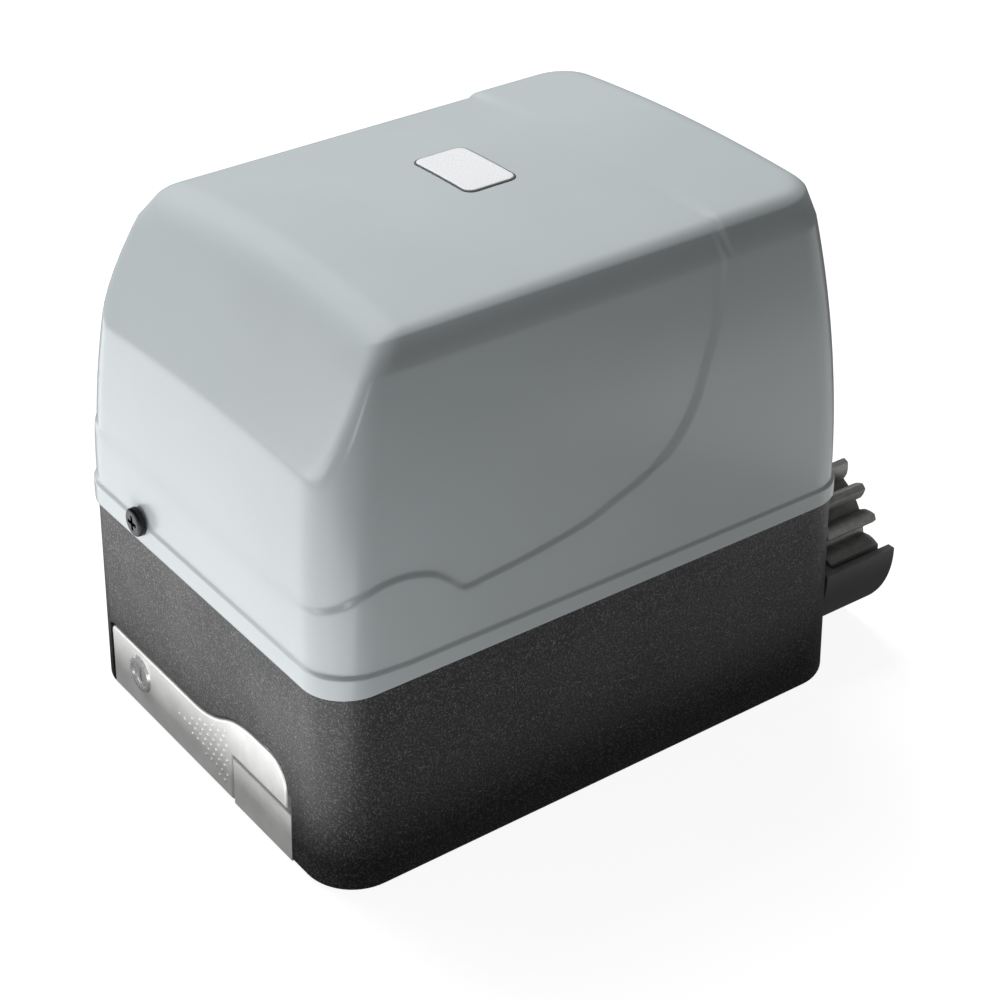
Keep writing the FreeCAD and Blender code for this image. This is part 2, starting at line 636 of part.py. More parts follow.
RIB_PLACES = (-50, -10, 30, 100)  # along Y: clear of the slots, the capacitor clip and the casing
side_ribs = []
for y in RIB_PLACES:
    for side, span in (("left", (1 - half_width, d.rib_inset - half_width)),
                       ("right", (half_width - d.rib_inset, half_width - 1))):
        side_ribs.append(box(f"rib_{side}_{y}".replace("-", "m"), span,
                             (y - d.rib_thick / 2, y + d.rib_thick / 2),
                             (d.base_floor - 1, d.base_height - d.rib_drop)))
shaft_boss = bar("shaft_boss", "Y", chamber_radius - 2, (d.casing_rear, half_depth), d.shaft_x, d.shaft_z)
housing_solid = fuse("housing_solid", tub, recess_block, pivot_block_wall, lock_wall, front_lug, rear_lug,
                     shaft_boss, *side_ribs)

# what is cut out of it
recess = doc.addObject("Part::Feature", "lever_recess")
around = lever_face().makeOffset2D(float(d.lever_gap))
recess.Shape = slab(around, FRONT, d.recess_back).fuse([
    block((d.lever_left - d.lever_gap, d.block_right + 0.5), (FRONT, d.recess_back), (-1, d.lever_low_top)),
    block((d.lever_rise_to, d.block_right + 0.5), (FRONT, d.recess_back),
          (-1, d.lever_high_top - d.lever_end_round)),
]).removeSplitter()
pivot_pocket = box("pivot_pocket", (d.pivot_pocket_left, d.pivot_pocket_right),
                   (d.recess_back - 6.5, d.pivot_pocket_back), (d.base_floor, d.pivot_pocket_top))
lock_mouth = box("lock_mouth", (d.lock_x - 11, d.lock_x + 12), (d.recess_back - 1, lock_room_back - 5.5),
                 (d.base_floor, d.lock_z + 12))
lock_room = box("lock_room", (d.lock_x - 15, d.lock_x + 12), (lock_room_back - 6, lock_room_back),
                (d.base_floor, d.lock_z + 12))
rod_hole = bar("rod_hole", "Y", d.rod_radius + 2, (d.pivot_pocket_back - 1, d.pivot_pocket_back + 6),
               d.shaft_x, d.shaft_z)
pin_hole = bar("pin_hole", "Z", d.pivot_radius, (1, d.pivot_pocket_top + 3), d.shaft_x, d.pivot_y)
shaft_hole = bar("shaft_hole", "Y", d.shaft_radius + 1.5, (d.casing_rear - 1, half_depth + 6), d.shaft_x,
                 d.shaft_z)
notches = []
for name, x, y in (("front", -d.cover_screw_x, -half_depth), ("rear", d.cover_screw_x, half_depth - 14)):
    low, high = y, y + 14
    width = d.cover_screw_radius + 0.5
    notches.append(bar(name + "_notch_foot", "Y", width, (low, high), x, d.cover_screw_z))
    notches.append(box(name + "_notch", (x - width, x + width), (low, high),
                       (d.cover_screw_z, d.cover_screw_z + 20)))
guard_threads = [bar(f"guard_thread_{i}", "Y", 2.0, (d.casing_rear + 1, half_depth + 6), x, z)
                 for i, (x, z) in enumerate(guard_spots)]
saddle_screws = [(dx, y) for dx in (-16, 16) for y in (d.wheel_y - 4, d.casing_rear - 15)]
screw_wells = []
for i, (dx, y) in enumerate(saddle_screws):
    screw_wells.append(bar(f"screw_well_{i}", "Z", 5.4, (-1, 3.4), d.shaft_x + dx, y))
    screw_wells.append(bar(f"screw_way_{i}", "Z", 3.2, (0, 8), d.shaft_x + dx, y))
sub_part(cut("housing", housing_solid, recess, pivot_pocket, lock_mouth, lock_room, rod_hole, pin_hole,
             shaft_hole, *notches, *screw_wells, *guard_threads), "base_housing")

# ---------------------------------------------------------------- cover
def sag(radius, rise):
    """How far an arc that starts upright has leant in after a rise."""
    return radius - math.sqrt(radius * radius - rise * rise)


def bowed_face(half, bow_low, bow_high, foot, top, across):
    """An upright section whose two sides lean in along arcs."""
    def at(offset, height):
        return Vector(offset, -d.cover_depth, height) if across else Vector(-d.cover_width, offset, height)

    low, high = -half, half
    rise = top - foot
    ends = [at(low, foot), at(high, foot), at(high - sag(bow_high, rise), top), at(low + sag(bow_low,
                                                                                             rise), top)]
    middles = [at(high - sag(bow_high, rise / 2), foot + rise / 2), at(low + sag(bow_low, rise / 2),
                                                                       foot + rise / 2)]
    edges = [Part.makeLine(ends[0], ends[1]), Part.Arc(ends[1], middles[0], ends[2]).toShape(),
             Part.makeLine(ends[2], ends[3]), Part.Arc(ends[3], middles[1], ends[0]).toShape()]
    return Part.Face(Part.Wire(edges))


def tower(inset_side, inset_front, inset_back, corner):
    """The four bowed walls of the cover, before the slant and the roof are cut."""
    foot = float(d.base_height)
    top = float(d.roof_rear_z) + 20
    half_x = d.cover_width / 2 - inset_side
    side = bowed_face(half_x, d.side_bow, d.side_bow, foot, top, True).extrude(Vector(0,
                                                                                      2 * d.cover_depth, 0))
    shift = (inset_front - inset_back) / 2
    half_y = d.cover_depth / 2 - (inset_front + inset_back) / 2
    ends = bowed_face(half_y, d.front_bow, d.side_bow, foot, top, False).extrude(
        Vector(2 * d.cover_width, 0, 0))
    ends.translate(Vector(0, shift, 0))
    form = side.common(ends)
    upright = [e for e in form.Edges if abs(e.Vertexes[0].Z - e.Vertexes[-1].Z) > top - foot - 1]
    return form.makeFillet(corner, upright)


def roof_tool(crown, drop):
    """Everything under the slant and the roof: their section turned about a far axis to crown them."""
    slant = Vector(0, d.slant_top_y - d.slant_foot_y, d.slant_top_z - d.slant_foot_z)
    roof = Vector(0, d.roof_rear_y - d.slant_top_y, d.roof_rear_z - d.slant_top_z)
    slant.normalize()
    roof.normalize()
    turn = slant.getAngle(roof)
    crest = Vector(0, d.slant_top_y, d.slant_top_z)
    inward = (roof - slant).normalize()
    down = drop / math.cos(turn / 2)
    crest = crest + inward * down
    reach = max(d.crease_round - drop, 2.0)
    before = crest - slant * (reach * math.tan(turn / 2))
    after = crest + roof * (reach * math.tan(turn / 2))
    middle = crest + inward * (reach / math.cos(turn / 2) - reach)
    low = d.base_height - 2 * d.rim_height
    start = before - slant * ((before.z - low) / slant.z)
    finish = after + roof * float(d.cover_depth)
    foot = Vector(0, finish.y, low)
    section = Part.Wire([
        Part.makeLine(start, before), Part.Arc(before, middle, after).toShape(), Part.makeLine(after,
                                                                                               finish),
        Part.makeLine(finish, foot), Part.makeLine(foot, start)])
    face = Part.Face(section)
    axis = Vector(0, 0, d.slant_top_z - crown)
    spread = math.degrees(math.asin((d.cover_width / 2 + d.rim_height) / (crown - d.slant_top_z + low)))
    face.rotate(axis, Vector(0, 1, 0), -spread)
    return face.revolve(axis, Vector(0, 1, 0), 2 * spread)


def skin(inset_side, inset_front, inset_back, corner, crown, drop, edge):
    """One closed form of the cover: bowed walls under the roof, with the rim of the roof rounded."""
    walls = tower(inset_side, inset_front, inset_back, corner)
    form = walls.common(roof_tool(crown, drop))
    rim = []
    for e in form.Edges:
        middle = Part.Vertex(e.valueAt((e.FirstParameter + e.LastParameter) / 2))
        above_foot = min(v.Z for v in e.Vertexes) > d.base_height + 1
        if above_foot and min(f.distToShape(middle)[0] for f in walls.Faces) < 0.01:
            rim.append(e)
    return form.makeFillet(edge, rim)


def curve(spots):
    """A smooth line through (y, z) spots in the plane x = 0."""
    line = Part.BSplineCurve()
    line.interpolate([Vector(0, y, z) for y, z in spots])
    return line.toShape()


def flank_region():
    """The lower rear of the flanks, which stands proud: under a long sweep that falls from the roof
    to a valley near the front, then over a short hump to the front wall. The spots are measured
    from the front edge of the seam and from the seam itself."""
    sweep_in = [(174.5, 117.2), (169, 92.2), (152.5, 67.2), (121, 49.2), (84, 38.2), (59, 33.8)]
    hump_in = [(59, 33.8), (40, 43.2), (25, 49.2), (13, 40.2), (-9, 19.2)]
    sweep, hump = ([(inset - half_depth, d.base_height + rise) for inset, rise in spots]
                   for spots in (sweep_in, hump_in))
    front, rear = hump[-1][0], half_depth + d.rim_height
    under, over = d.base_height - d.rim_height, d.roof_rear_z + 3 * d.rim_height
    spots = [hump[-1], (front, under), (rear, under), (rear, over), (sweep[0][0], over), sweep[0]]
    corners = [Vector(0, y, z) for y, z in spots]
    edges = [curve(sweep), curve(hump)] + [Part.makeLine(a, b) for a, b in zip(corners, corners[1:])]
    region = Part.Face(Part.Wire(edges)).extrude(Vector(2 * d.cover_width, 0, 0))
    region.translate(Vector(-d.cover_width, 0, 0))
    return region


def rim_block(inset, low, high):
    """The rim band's rounded rectangle between two heights."""
    wire = rounded_wire(d.cover_width / 2 - inset, d.cover_depth / 2 - inset, d.cover_corner - inset, low)
    return Part.Face(wire).extrude(Vector(0, 0, high - low))


rim_top = d.base_height + d.rim_height
step = float(d.rim_step)
corner = float(d.cover_corner - d.rim_step)
flank_skin = skin(step, step, step, corner, float(d.rear_roof_crown), 0.0, float(d.edge_round))
front_skin = skin(step + d.panel_step, step + d.panel_step_front, step + d.panel_step, corner,
                  float(d.roof_crown), 0.0, float(d.edge_round))
inside = skin(step + d.panel_step + d.cover_wall, step + d.panel_step_front + d.cover_wall,
              step + d.cover_wall,
              float(corner - d.cover_wall), float(d.roof_crown), float(d.cover_wall),
              float(d.edge_round - d.cover_wall))
outside = front_skin.fuse(flank_skin.common(flank_region()))
cover_screws_at = [(-d.cover_screw_x, -1), (d.cover_screw_x, 1)]
screw_face = float(d.cover_depth / 2)
bosses, screw_ways = [], []
for x, side in cover_screws_at:
    near, far = sorted((side * screw_face, side * (screw_face - 5)))
    bosses.append(spigot(d.cover_head_radius + 0.7, near, far, x, d.cover_screw_z))
    screw_ways.append(spigot(d.cover_screw_radius + 0.2, near - 20, far + 20, x, d.cover_screw_z))
cover_shape = outside.fuse([rim_block(0.0, d.base_height, rim_top)] + bosses)
cover_shape = cover_shape.cut([inside, rim_block(float(d.cover_wall), d.base_height - 5,
                                                 rim_top)] + screw_ways)
solid("cover", cover_shape)

badge_print = rounded_wire(d.badge_length / 2, d.badge_width / 2, d.badge_corner, 0)
badge_print.translate(Vector(d.badge_x, d.badge_y, d.base_height + d.rim_height))
raised = front_skin.copy()
raised.translate(Vector(0, 0, d.badge_thick))
badge_shape = Part.Face(badge_print).extrude(Vector(0, 0, d.roof_rear_rise)).common(raised).cut(front_skin)
solid("cover_badge", badge_shape)


# ---------------------------------------------------------------- fasteners
def screw(head_radius, head_height, shank_radius, length, countersunk=False):
    """A screw along +Z with its head below the plane z = 0 and a cross recess in the head."""
    if countersunk:
        head = Part.makeCone(head_radius, shank_radius, head_height, Vector(0, 0, 0))
        face = 0.0
    else:
        head = Part.makeCylinder(head_radius, head_height, Vector(0, 0, -head_height))
        top = [e for e in head.Edges if e.BoundBox.ZMax < -head_height + 0.01]
        head = head.makeFillet(head_height * 0.45, top)
        face = -head_height
    bar_width, bar_length, deep = head_radius * 0.28, head_radius * 1.1, head_height * 0.5
    cross = [block((-w / 2, w / 2), (-l / 2, l / 2), (face - 1, face + deep))
             for w, l in ((bar_width, bar_length), (bar_length, bar_width))]
    return head.fuse(Part.makeCylinder(shank_radius, length)).cut(cross)


def group(shape, spots):
    """Copies of a shape, each at a (point, rotation), kept as separate solids."""
    copies = []
    for point, turn in spots:
        copy = shape.copy()
        copy.Placement = Placement(Vector(*point), turn)
        copies.append(copy)
    return Part.makeCompound(copies)


UP, DOWN = Rotation(), Rotation(Vector(1, 0, 0), 180)
TO_REAR, TO_FRONT = Rotation(Vector(1, 0, 0), -90), Rotation(Vector(1, 0, 0), 90)

cover_screw = screw(d.cover_head_radius, 3.2, d.cover_screw_radius, 16)
nut_near = lug_face - d.lug_thick - d.running_gap
nut = Part.makeCylinder(5.2, 4).cut(Part.makeCylinder(d.cover_screw_radius, 4))
solid("cover_screws", group(cover_screw, [
    ((-d.cover_screw_x, -screw_face, d.cover_screw_z), TO_REAR),
    ((d.cover_screw_x, screw_face, d.cover_screw_z), TO_FRONT)]))
solid("cover_nuts", group(nut, [
    ((-d.cover_screw_x, -nut_near, d.cover_screw_z), TO_REAR),
    ((d.cover_screw_x, nut_near, d.cover_screw_z), TO_FRONT)]))

# ---------------------------------------------------------------- gear casing and its lid
casing_top = d.motor_foot
column_radius = d.worm_bearing_outer + d.casing_wall
drum = bar("casing_drum", "Y", casing_radius, (d.casing_front, wheel_rear + 8), d.shaft_x, d.shaft_z)
neck = bar("casing_neck", "Y", d.rear_bearing_outer + d.casing_wall, (d.wheel_y, d.casing_rear), d.shaft_x,
           d.shaft_z)
column = bar("casing_column", "Z", column_radius, (d.base_floor, casing_top), worm_x, d.wheel_y)
saddles = [box(f"casing_saddle_{i}", (d.shaft_x - 28, d.shaft_x + 28), span, (d.base_floor,
                                                                              d.base_floor + 16))
           for i, span in enumerate(((d.casing_front + 4, wheel_rear + 4),
                                     (d.casing_rear - 26, d.casing_rear - 4)))]
flange_body = doc.addObject("PartDesign::Body", "casing_flange")
flange_sketch = sketch_on(flange_body, "XY_Plane", "casing_flange_outline", casing_top - 8)
draw_rounded(flange_sketch, d.motor_side / 2, d.motor_side / 2, d.motor_corner, worm_x, d.wheel_y)
pad(flange_body, flange_sketch, "casing_flange_pad", 8)
lid_ears = [(dx, dz) for dx in (-27.6, 27.6) for dz in (-27.6, 27.6)]
ears = [bar(f"casing_ear_{i}", "Y", 5.5, (d.casing_front, d.casing_front + 14), d.shaft_x + dx,
            d.shaft_z + dz)
        for i, (dx, dz) in enumerate(lid_ears)]
casing_solid = fuse("casing_solid", drum, neck, column, flange_body, *saddles, *ears)
chamber = bar("wheel_chamber", "Y", chamber_radius, (d.casing_front - 1, wheel_rear + 4), d.shaft_x,
              d.shaft_z)
# the flange above stops short of the lid and its screws, however low the motor stands
lid_near = d.casing_front - d.lid_thick
lid_room = [bar("lid_room", "Y", casing_radius + d.fit_gap, (lid_near - 4, d.casing_front), d.shaft_x,
                d.shaft_z)]
lid_room += [bar(f"lid_ear_room_{i}", "Y", 6.0, (lid_near - 4, d.casing_front), d.shaft_x + dx,
                 d.shaft_z + dz)
             for i, (dx, dz) in enumerate(lid_ears)]
clutch_room = bar("clutch_room", "Y", d.rear_bearing_outer, (d.wheel_y,
                                                             d.rear_bearing_y + d.rear_bearing_width),
                  d.shaft_x, d.shaft_z)
seal_seat = bar("seal_seat", "Y", d.seal_outer, (d.rear_bearing_y, d.casing_rear + 1), d.shaft_x, d.shaft_z)
worm_well = bar("worm_well", "Z", d.worm_bearing_outer, (d.base_floor + 4, casing_top + 1), worm_x,
                d.wheel_y)
casing_holes = [bar(f"motor_thread_{i}", "Z", d.motor_bolt_radius, (casing_top - 9, casing_top + 1),
                    worm_x + sx * d.motor_bolt_offset, d.wheel_y + sy * d.motor_bolt_offset)
                for i, (sx, sy) in enumerate(((-1, -1), (1, -1), (1, 1), (-1, 1)))]
casing_holes += [bar(f"lid_thread_{i}", "Y", 2.0, (d.casing_front - 1, d.casing_front + 5), d.shaft_x + dx,
                     d.shaft_z + dz) for i, (dx, dz) in enumerate(lid_ears)]
casing_holes += [bar(f"saddle_thread_{i}", "Z", 3.0, (d.base_floor - 1, d.base_floor + 8.5),
                     d.shaft_x + dx, y)
                 for i, (dx, y) in enumerate(saddle_screws)]
sub_part(cut("gear_casing_cut", casing_solid, chamber, clutch_room, seal_seat, worm_well, *lid_room,
             *casing_holes), "gear_casing")

lid_seat = 4
lid_plate = bar("lid_plate", "Y", casing_radius, (lid_near, d.casing_front), d.shaft_x, d.shaft_z)
lid_spigot = bar("lid_spigot", "Y", chamber_radius - d.fit_gap, (lid_near, d.casing_front + lid_seat),
                 d.shaft_x,
                 d.shaft_z)
lid_lobes = [bar(f"lid_ear_{i}", "Y", 5.5, (lid_near, d.casing_front), d.shaft_x + dx, d.shaft_z + dz)
             for i, (dx, dz) in enumerate(lid_ears)]
front_seat_near = d.casing_front + lid_seat - d.front_bearing_width
lid_cuts = [bar("lid_bearing_seat", "Y", d.front_bearing_outer, (front_seat_near, d.casing_front + 9),
                d.shaft_x,
                d.shaft_z),
            bar("lid_rod_way", "Y", d.rod_radius + 3, (lid_near - 1, d.casing_front), d.shaft_x, d.shaft_z)]
lid_cuts += [bar(f"lid_hole_{i}", "Y", 2.2, (lid_near - 1, d.casing_front + 1), d.shaft_x + dx,
                 d.shaft_z + dz)
             for i, (dx, dz) in enumerate(lid_ears)]
sub_part(cut("gear_lid_cut", fuse("lid_solid", lid_plate, lid_spigot, *lid_lobes), *lid_cuts), "gear_lid")
solid("lid_screws", group(screw(3.8, 3.0, 2.0, d.lid_thick + 5), [
    ((d.shaft_x + dx, lid_near, d.shaft_z + dz), TO_REAR) for dx, dz in lid_ears]))
solid("casing_screws", group(screw(5.0, 3.0, 3.0, 10), [
    ((d.shaft_x + dx, y, 3.4), UP) for dx, y in saddle_screws]))


# ---------------------------------------------------------------- output shaft, clutch and pinion
def bearing(node, axis, start, u, v, inner, outer, width):
    """A sealed ball bearing as one ring: outer race, recessed seal faces and inner race."""
    race = (outer - inner) * 0.24
    sunk = 0.6
    body = turned(node, axis, start, u, v, [
        (inner + d.fit_gap, 0), (inner + race, 0), (inner + race, sunk), (outer - race, sunk),
                                            (outer - race, 0),
        (outer, 0), (outer, width), (outer - race, width), (outer - race, width - sunk),
        (inner + race, width - sunk), (inner + race, width), (inner + d.fit_gap, width)])
    return sub_part(body, node)


bearing("shaft_bearing_front", "Y", front_seat_near, d.shaft_x, d.shaft_z, d.front_bearing_inner,
        d.front_bearing_outer, d.front_bearing_width)
bearing("shaft_bearing_rear", "Y", d.rear_bearing_y, d.shaft_x, d.shaft_z, d.shaft_radius,
        d.rear_bearing_outer,
        d.rear_bearing_width)
seal_near = d.casing_rear - d.seal_width
sub_part(turned("shaft_seal_ring", "Y", seal_near, d.shaft_x, d.shaft_z, [
    (d.shaft_radius + d.fit_gap, 1.5), (d.shaft_radius + 2, 3), (d.shaft_radius + 3, 0), (d.seal_outer, 0),
    (d.seal_outer, d.seal_width), (d.shaft_radius + 2, d.seal_width), (d.shaft_radius + d.fit_gap, 3.2)]),
    "shaft_seal")

shaft_near = front_seat_near + 0.3
pinion_far = d.pinion_near + d.pinion_width
shoulder_rear = wheel_front
turned_shaft = turned("shaft_turned", "Y", shaft_near, d.shaft_x, d.shaft_z, [
    (0, 0), (d.front_bearing_inner - 0.5, 0), (d.front_bearing_inner, 0.5),
    (d.front_bearing_inner, d.casing_front + lid_seat - shaft_near + 0.3),
    (d.shaft_radius + 3, d.casing_front + lid_seat - shaft_near + 0.3),
    (d.shaft_radius + 3, shoulder_rear - shaft_near), (d.shaft_radius, shoulder_rear - shaft_near),
    (d.shaft_radius, pinion_far - shaft_near - 1), (d.shaft_radius - 1, pinion_far - shaft_near),
    (0, pinion_far - shaft_near)])
slot_near = clutch_pin_y - d.clutch_pin_radius - 0.3
slot_far = clutch_pin_y + d.clutch_travel + d.clutch_pin_radius + 0.3
rod_bore = bar("shaft_rod_bore", "Y", d.rod_radius + 0.1, (shaft_near - 1, slot_far), d.shaft_x, d.shaft_z)
pin_slot = box("shaft_pin_slot", (d.shaft_x - 20, d.shaft_x + 20), (slot_near, slot_far),
               (d.shaft_z - d.clutch_pin_radius - d.fit_gap, d.shaft_z + d.clutch_pin_radius + d.fit_gap))
key_height, key_width = 6.0, 6.0
key_top = d.shaft_z + d.shaft_radius + 2.5
key_seat = box("shaft_key_seat", (d.shaft_x - key_width / 2, d.shaft_x + key_width / 2),
               (d.pinion_near + 1, pinion_far - 2), (key_top - key_height, key_top + 5))
end_thread = bar("shaft_end_thread", "Y", 4.0, (pinion_far - 22, pinion_far + 1), d.shaft_x, d.shaft_z)
sub_part(cut("output_shaft_cut", turned_shaft, rod_bore, pin_slot, key_seat, end_thread), "output_shaft")
sub_part(box("key_block", (d.shaft_x - key_width / 2, d.shaft_x + key_width / 2),
             (d.pinion_near + 1, pinion_far - 2), (key_top - key_height, key_top)), "pinion_key")


def gear_wire(module, teeth, thickness, tip, root, turn=0.0, clearance=0.0):
    """The outline of an involute spur gear in the plane y = 0, about the shaft axis.

    The flank is the involute of the base circle at 20 degrees, sampled at four radii and joined smoothly.
    turn is the angle of the first tooth, in radians, from +X towards +Z.
    """
    pitch = module * teeth / 2
    base = pitch * math.cos(math.radians(20))

    def involute(radius):
        if radius <= base:
            return 0.0
        roll = math.acos(base / radius)
        return math.tan(roll) - roll

    def spot(radius, angle):
        return Vector(d.shaft_x + radius * math.cos(angle), 0, d.shaft_z + radius * math.sin(angle))

    half = (thickness - clearance) / (2 * pitch) + involute(pitch)
    foot = max(root, base)
    radii = [foot + (tip - foot) * share for share in (0.0, 0.35, 0.7, 1.0)]
    step = 2 * math.pi / teeth
    edges = []
    for i in range(int(teeth)):
        middle = turn + i * step
        up = [spot(r, middle - half + involute(r)) for r in radii]
        down = [spot(r, middle + half - involute(r)) for r in reversed(radii)]
        after = spot(radii[0], middle + step - half)
        root_out = spot(root, middle + half)
        root_mid = spot(root, middle + step / 2)
        root_in = spot(root, middle + step - half)
        for flank in (up, down):
            line = Part.BSplineCurve()
            line.interpolate(flank)
            edges.append(line.toShape())
            if flank is up:
                edges.append(Part.Arc(up[-1], spot(tip, middle), down[0]).toShape())
        if foot > root + 0.001:
            edges.append(Part.makeLine(down[-1], root_out))
        edges.append(Part.Arc(root_out, root_mid, root_in).toShape())
        if foot > root + 0.001:
            edges.append(Part.makeLine(root_in, after))
    return Part.Wire(edges)


pinion_face = Part.Face(gear_wire(float(d.pinion_module), float(d.pinion_teeth),
                                  math.pi * d.pinion_module / 2,
                                  float(pinion_tip), float(d.pinion_module * (d.pinion_teeth / 2 - 1.25)),
                                  math.radians(2.4)))
pinion_shape = slab(pinion_face, d.pinion_near, pinion_far)
pinion_shape = pinion_shape.cut([
    spigot(d.shaft_radius, d.pinion_near - 1, pinion_far + 1, d.shaft_x, d.shaft_z),
    block((d.shaft_x - key_width / 2, d.shaft_x + key_width / 2), (d.pinion_near - 1, pinion_far + 1),
          (d.shaft_z, key_top))])
tip_cone = Part.makeCone(pinion_tip + 4, pinion_tip - 1.2, 5.2, Vector(d.shaft_x, pinion_far - 4, d.shaft_z),
                         Vector(0, 1, 0))
envelope = spigot(pinion_tip + 4, d.pinion_near, pinion_far - 4, d.shaft_x, d.shaft_z).fuse(tip_cone)
solid("pinion", pinion_shape.common(envelope))
solid("pinion_washer", spigot(14, pinion_far, pinion_far + 2, d.shaft_x, d.shaft_z).cut(
    spigot(4, pinion_far - 1, pinion_far + 3, d.shaft_x, d.shaft_z)))
hexagon = Part.makePolygon([Vector(7.5 * math.cos(math.radians(a)), 7.5 * math.sin(math.radians(a)), 0)
                            for a in range(0, 361, 60)])
bolt = Part.Face(hexagon).extrude(Vector(0, 0, -5)).fuse(Part.makeCylinder(4.0, 20))
solid("pinion_bolt", group(bolt, [((d.shaft_x, pinion_far + 2, d.shaft_z), TO_FRONT)]))

# worm wheel: its teeth are twisted to the lead of the worm
wheel_pitch = d.worm_module * d.wheel_teeth / 2
twist = (d.wheel_width * d.worm_module / (2 * d.worm_pitch_radius)) / wheel_pitch
tooth_phase = math.pi + math.pi / d.wheel_teeth
wheel_wires = []
for y, sign in ((wheel_front, 1), (wheel_rear, -1)):
    wire = gear_wire(float(d.worm_module), float(d.wheel_teeth), math.pi * d.worm_module / 2,
                     float(wheel_tip),
                     float(wheel_pitch - 1.2 * d.worm_module), tooth_phase + sign * twist / 2, 0.45)
    wire.translate(Vector(0, y, 0))
    wheel_wires.append(wire)
wheel_blank = Part.makeLoft(wheel_wires, True, True)
dog_inner, dog_outer = d.shaft_radius + 3.2, d.clutch_radius - 0.5


def dogs(near, far, half_angle, inner, outer):
    """Four sector dogs round the shaft between two distances along Y."""
    ring = spigot(outer, near, far, d.shaft_x, d.shaft_z).cut(spigot(inner, near - 1, far + 1, d.shaft_x,
                                                                     d.shaft_z))
    reach = 40.0
    wedges = []
    for quarter in range(4):
        a = math.radians(45 + 90 * quarter - half_angle)
        b = math.radians(45 + 90 * quarter + half_angle)
        centre = Vector(d.shaft_x, near, d.shaft_z)
        arms = [Vector(reach * math.cos(t), 0, reach * math.sin(t)) for t in (a, b)]
        wire = Part.makePolygon([centre, centre + arms[0], centre + arms[1], centre])
        wedges.append(Part.Face(wire).extrude(Vector(0, far - near, 0)))
    return ring.common(wedges[0].multiFuse(wedges[1:]))


wheel_shape = wheel_blank.cut([
    spigot(d.shaft_radius + d.fit_gap, wheel_front - 1, wheel_rear + 1, d.shaft_x, d.shaft_z),
    dogs(wheel_rear - d.dog_length - 0.3, wheel_rear + 1, 21.5, dog_inner - 0.4, dog_outer + 0.4)])
solid("worm_wheel", wheel_shape)
solid("wheel_circlip", spigot(12.5, wheel_rear + 0.1, wheel_rear + 1.3, d.shaft_x, d.shaft_z).cut(
    spigot(d.shaft_radius, wheel_rear - 1, wheel_rear + 3, d.shaft_x, d.shaft_z)))
collar = spigot(d.clutch_radius, collar_front, collar_front + d.clutch_length, d.shaft_x, d.shaft_z)
collar = collar.fuse(dogs(wheel_rear - d.dog_length, collar_front, 20, dog_inner, dog_outer))
collar = collar.cut([
    spigot(d.shaft_radius + d.fit_gap, collar_front - 10, collar_front + 30, d.shaft_x, d.shaft_z),
    Part.makeCylinder(d.clutch_pin_radius, 60, Vector(d.shaft_x - 30, clutch_pin_y, d.shaft_z), Vector(1,
                                                                                                       0, 0))])
solid("clutch_collar", collar)
sub_part(bar("clutch_pin_bar", "X", d.clutch_pin_radius, (d.shaft_x - 17, d.shaft_x + 17), clutch_pin_y,
             d.shaft_z),
         "clutch_pin")
spring_near = collar_front + d.clutch_length
spring_far = d.rear_bearing_y - 2
spring_length = spring_far - spring_near - 2 * d.spring_wire - 0.4
coil = Part.makeHelix(spring_length / d.spring_turns, spring_length, d.spring_radius)
loop = Part.Wire(Part.makeCircle(d.spring_wire, Vector(d.spring_radius, 0, 0), Vector(0, 1, 0)))
spring_shape = Part.Wire(coil).makePipeShell([loop], True, True)
solid("clutch_spring", group(spring_shape, [
    ((d.shaft_x, spring_near + d.spring_wire + 0.2, d.shaft_z), TO_REAR)]))
solid("spring_seat", spigot(17, spring_far, d.rear_bearing_y - 0.3, d.shaft_x, d.shaft_z).cut(
    spigot(d.shaft_radius, spring_far - 1, d.rear_bearing_y + 1, d.shaft_x, d.shaft_z)))

# pinion guard: a half tube under the pinion with a back plate on the rear wall
guard_inner = pinion_tip + d.guard_gap
guard_outer = guard_inner + d.guard_wall
guard_near = half_depth - 2
plate_face = d.pinion_near - 0.8
tube = spigot(guard_outer, guard_near, d.guard_reach, d.shaft_x, d.shaft_z).cut(
    spigot(guard_inner, guard_near - 1, d.guard_reach + 1, d.shaft_x, d.shaft_z))
plate = spigot(guard_outer, guard_near, plate_face, d.shaft_x, d.shaft_z).cut(
    spigot(d.shaft_radius + 4, guard_near - 1, d.guard_reach, d.shaft_x, d.shaft_z))
under = block((d.shaft_x - 60, d.shaft_x + 60), (guard_near - 1, d.guard_reach + 1), (-5,
                                                                                      d.shaft_z + d.guard_rise))
guard_holes = [spigot(2.0, guard_near - 1, d.pinion_near, x, z) for x, z in guard_spots]
guard_holes += [Part.makeCone(2.0, 4.0, 2.0, Vector(x, plate_face - 2, z), Vector(0, 1, 0))
                for x, z in guard_spots]
guard_shape = tube.fuse(plate).common(under).cut([base_form()] + guard_holes)
solid("pinion_guard", guard_shape)
solid("guard_screws", group(screw(4.0, 2.0, 2.0, 8, True), [
    ((x, plate_face, z), TO_FRONT) for x, z in guard_spots]))

# ---------------------------------------------------------------- key release: lever, pivot, lock and rod
outer_form = base_form()
lever_rear = d.lever_back
hub = (d.shaft_x, d.pivot_y)
rod_tip = d.pivot_y + d.cam_radius + d.cam_gap
cam_low = d.hub_top - d.cam_thick


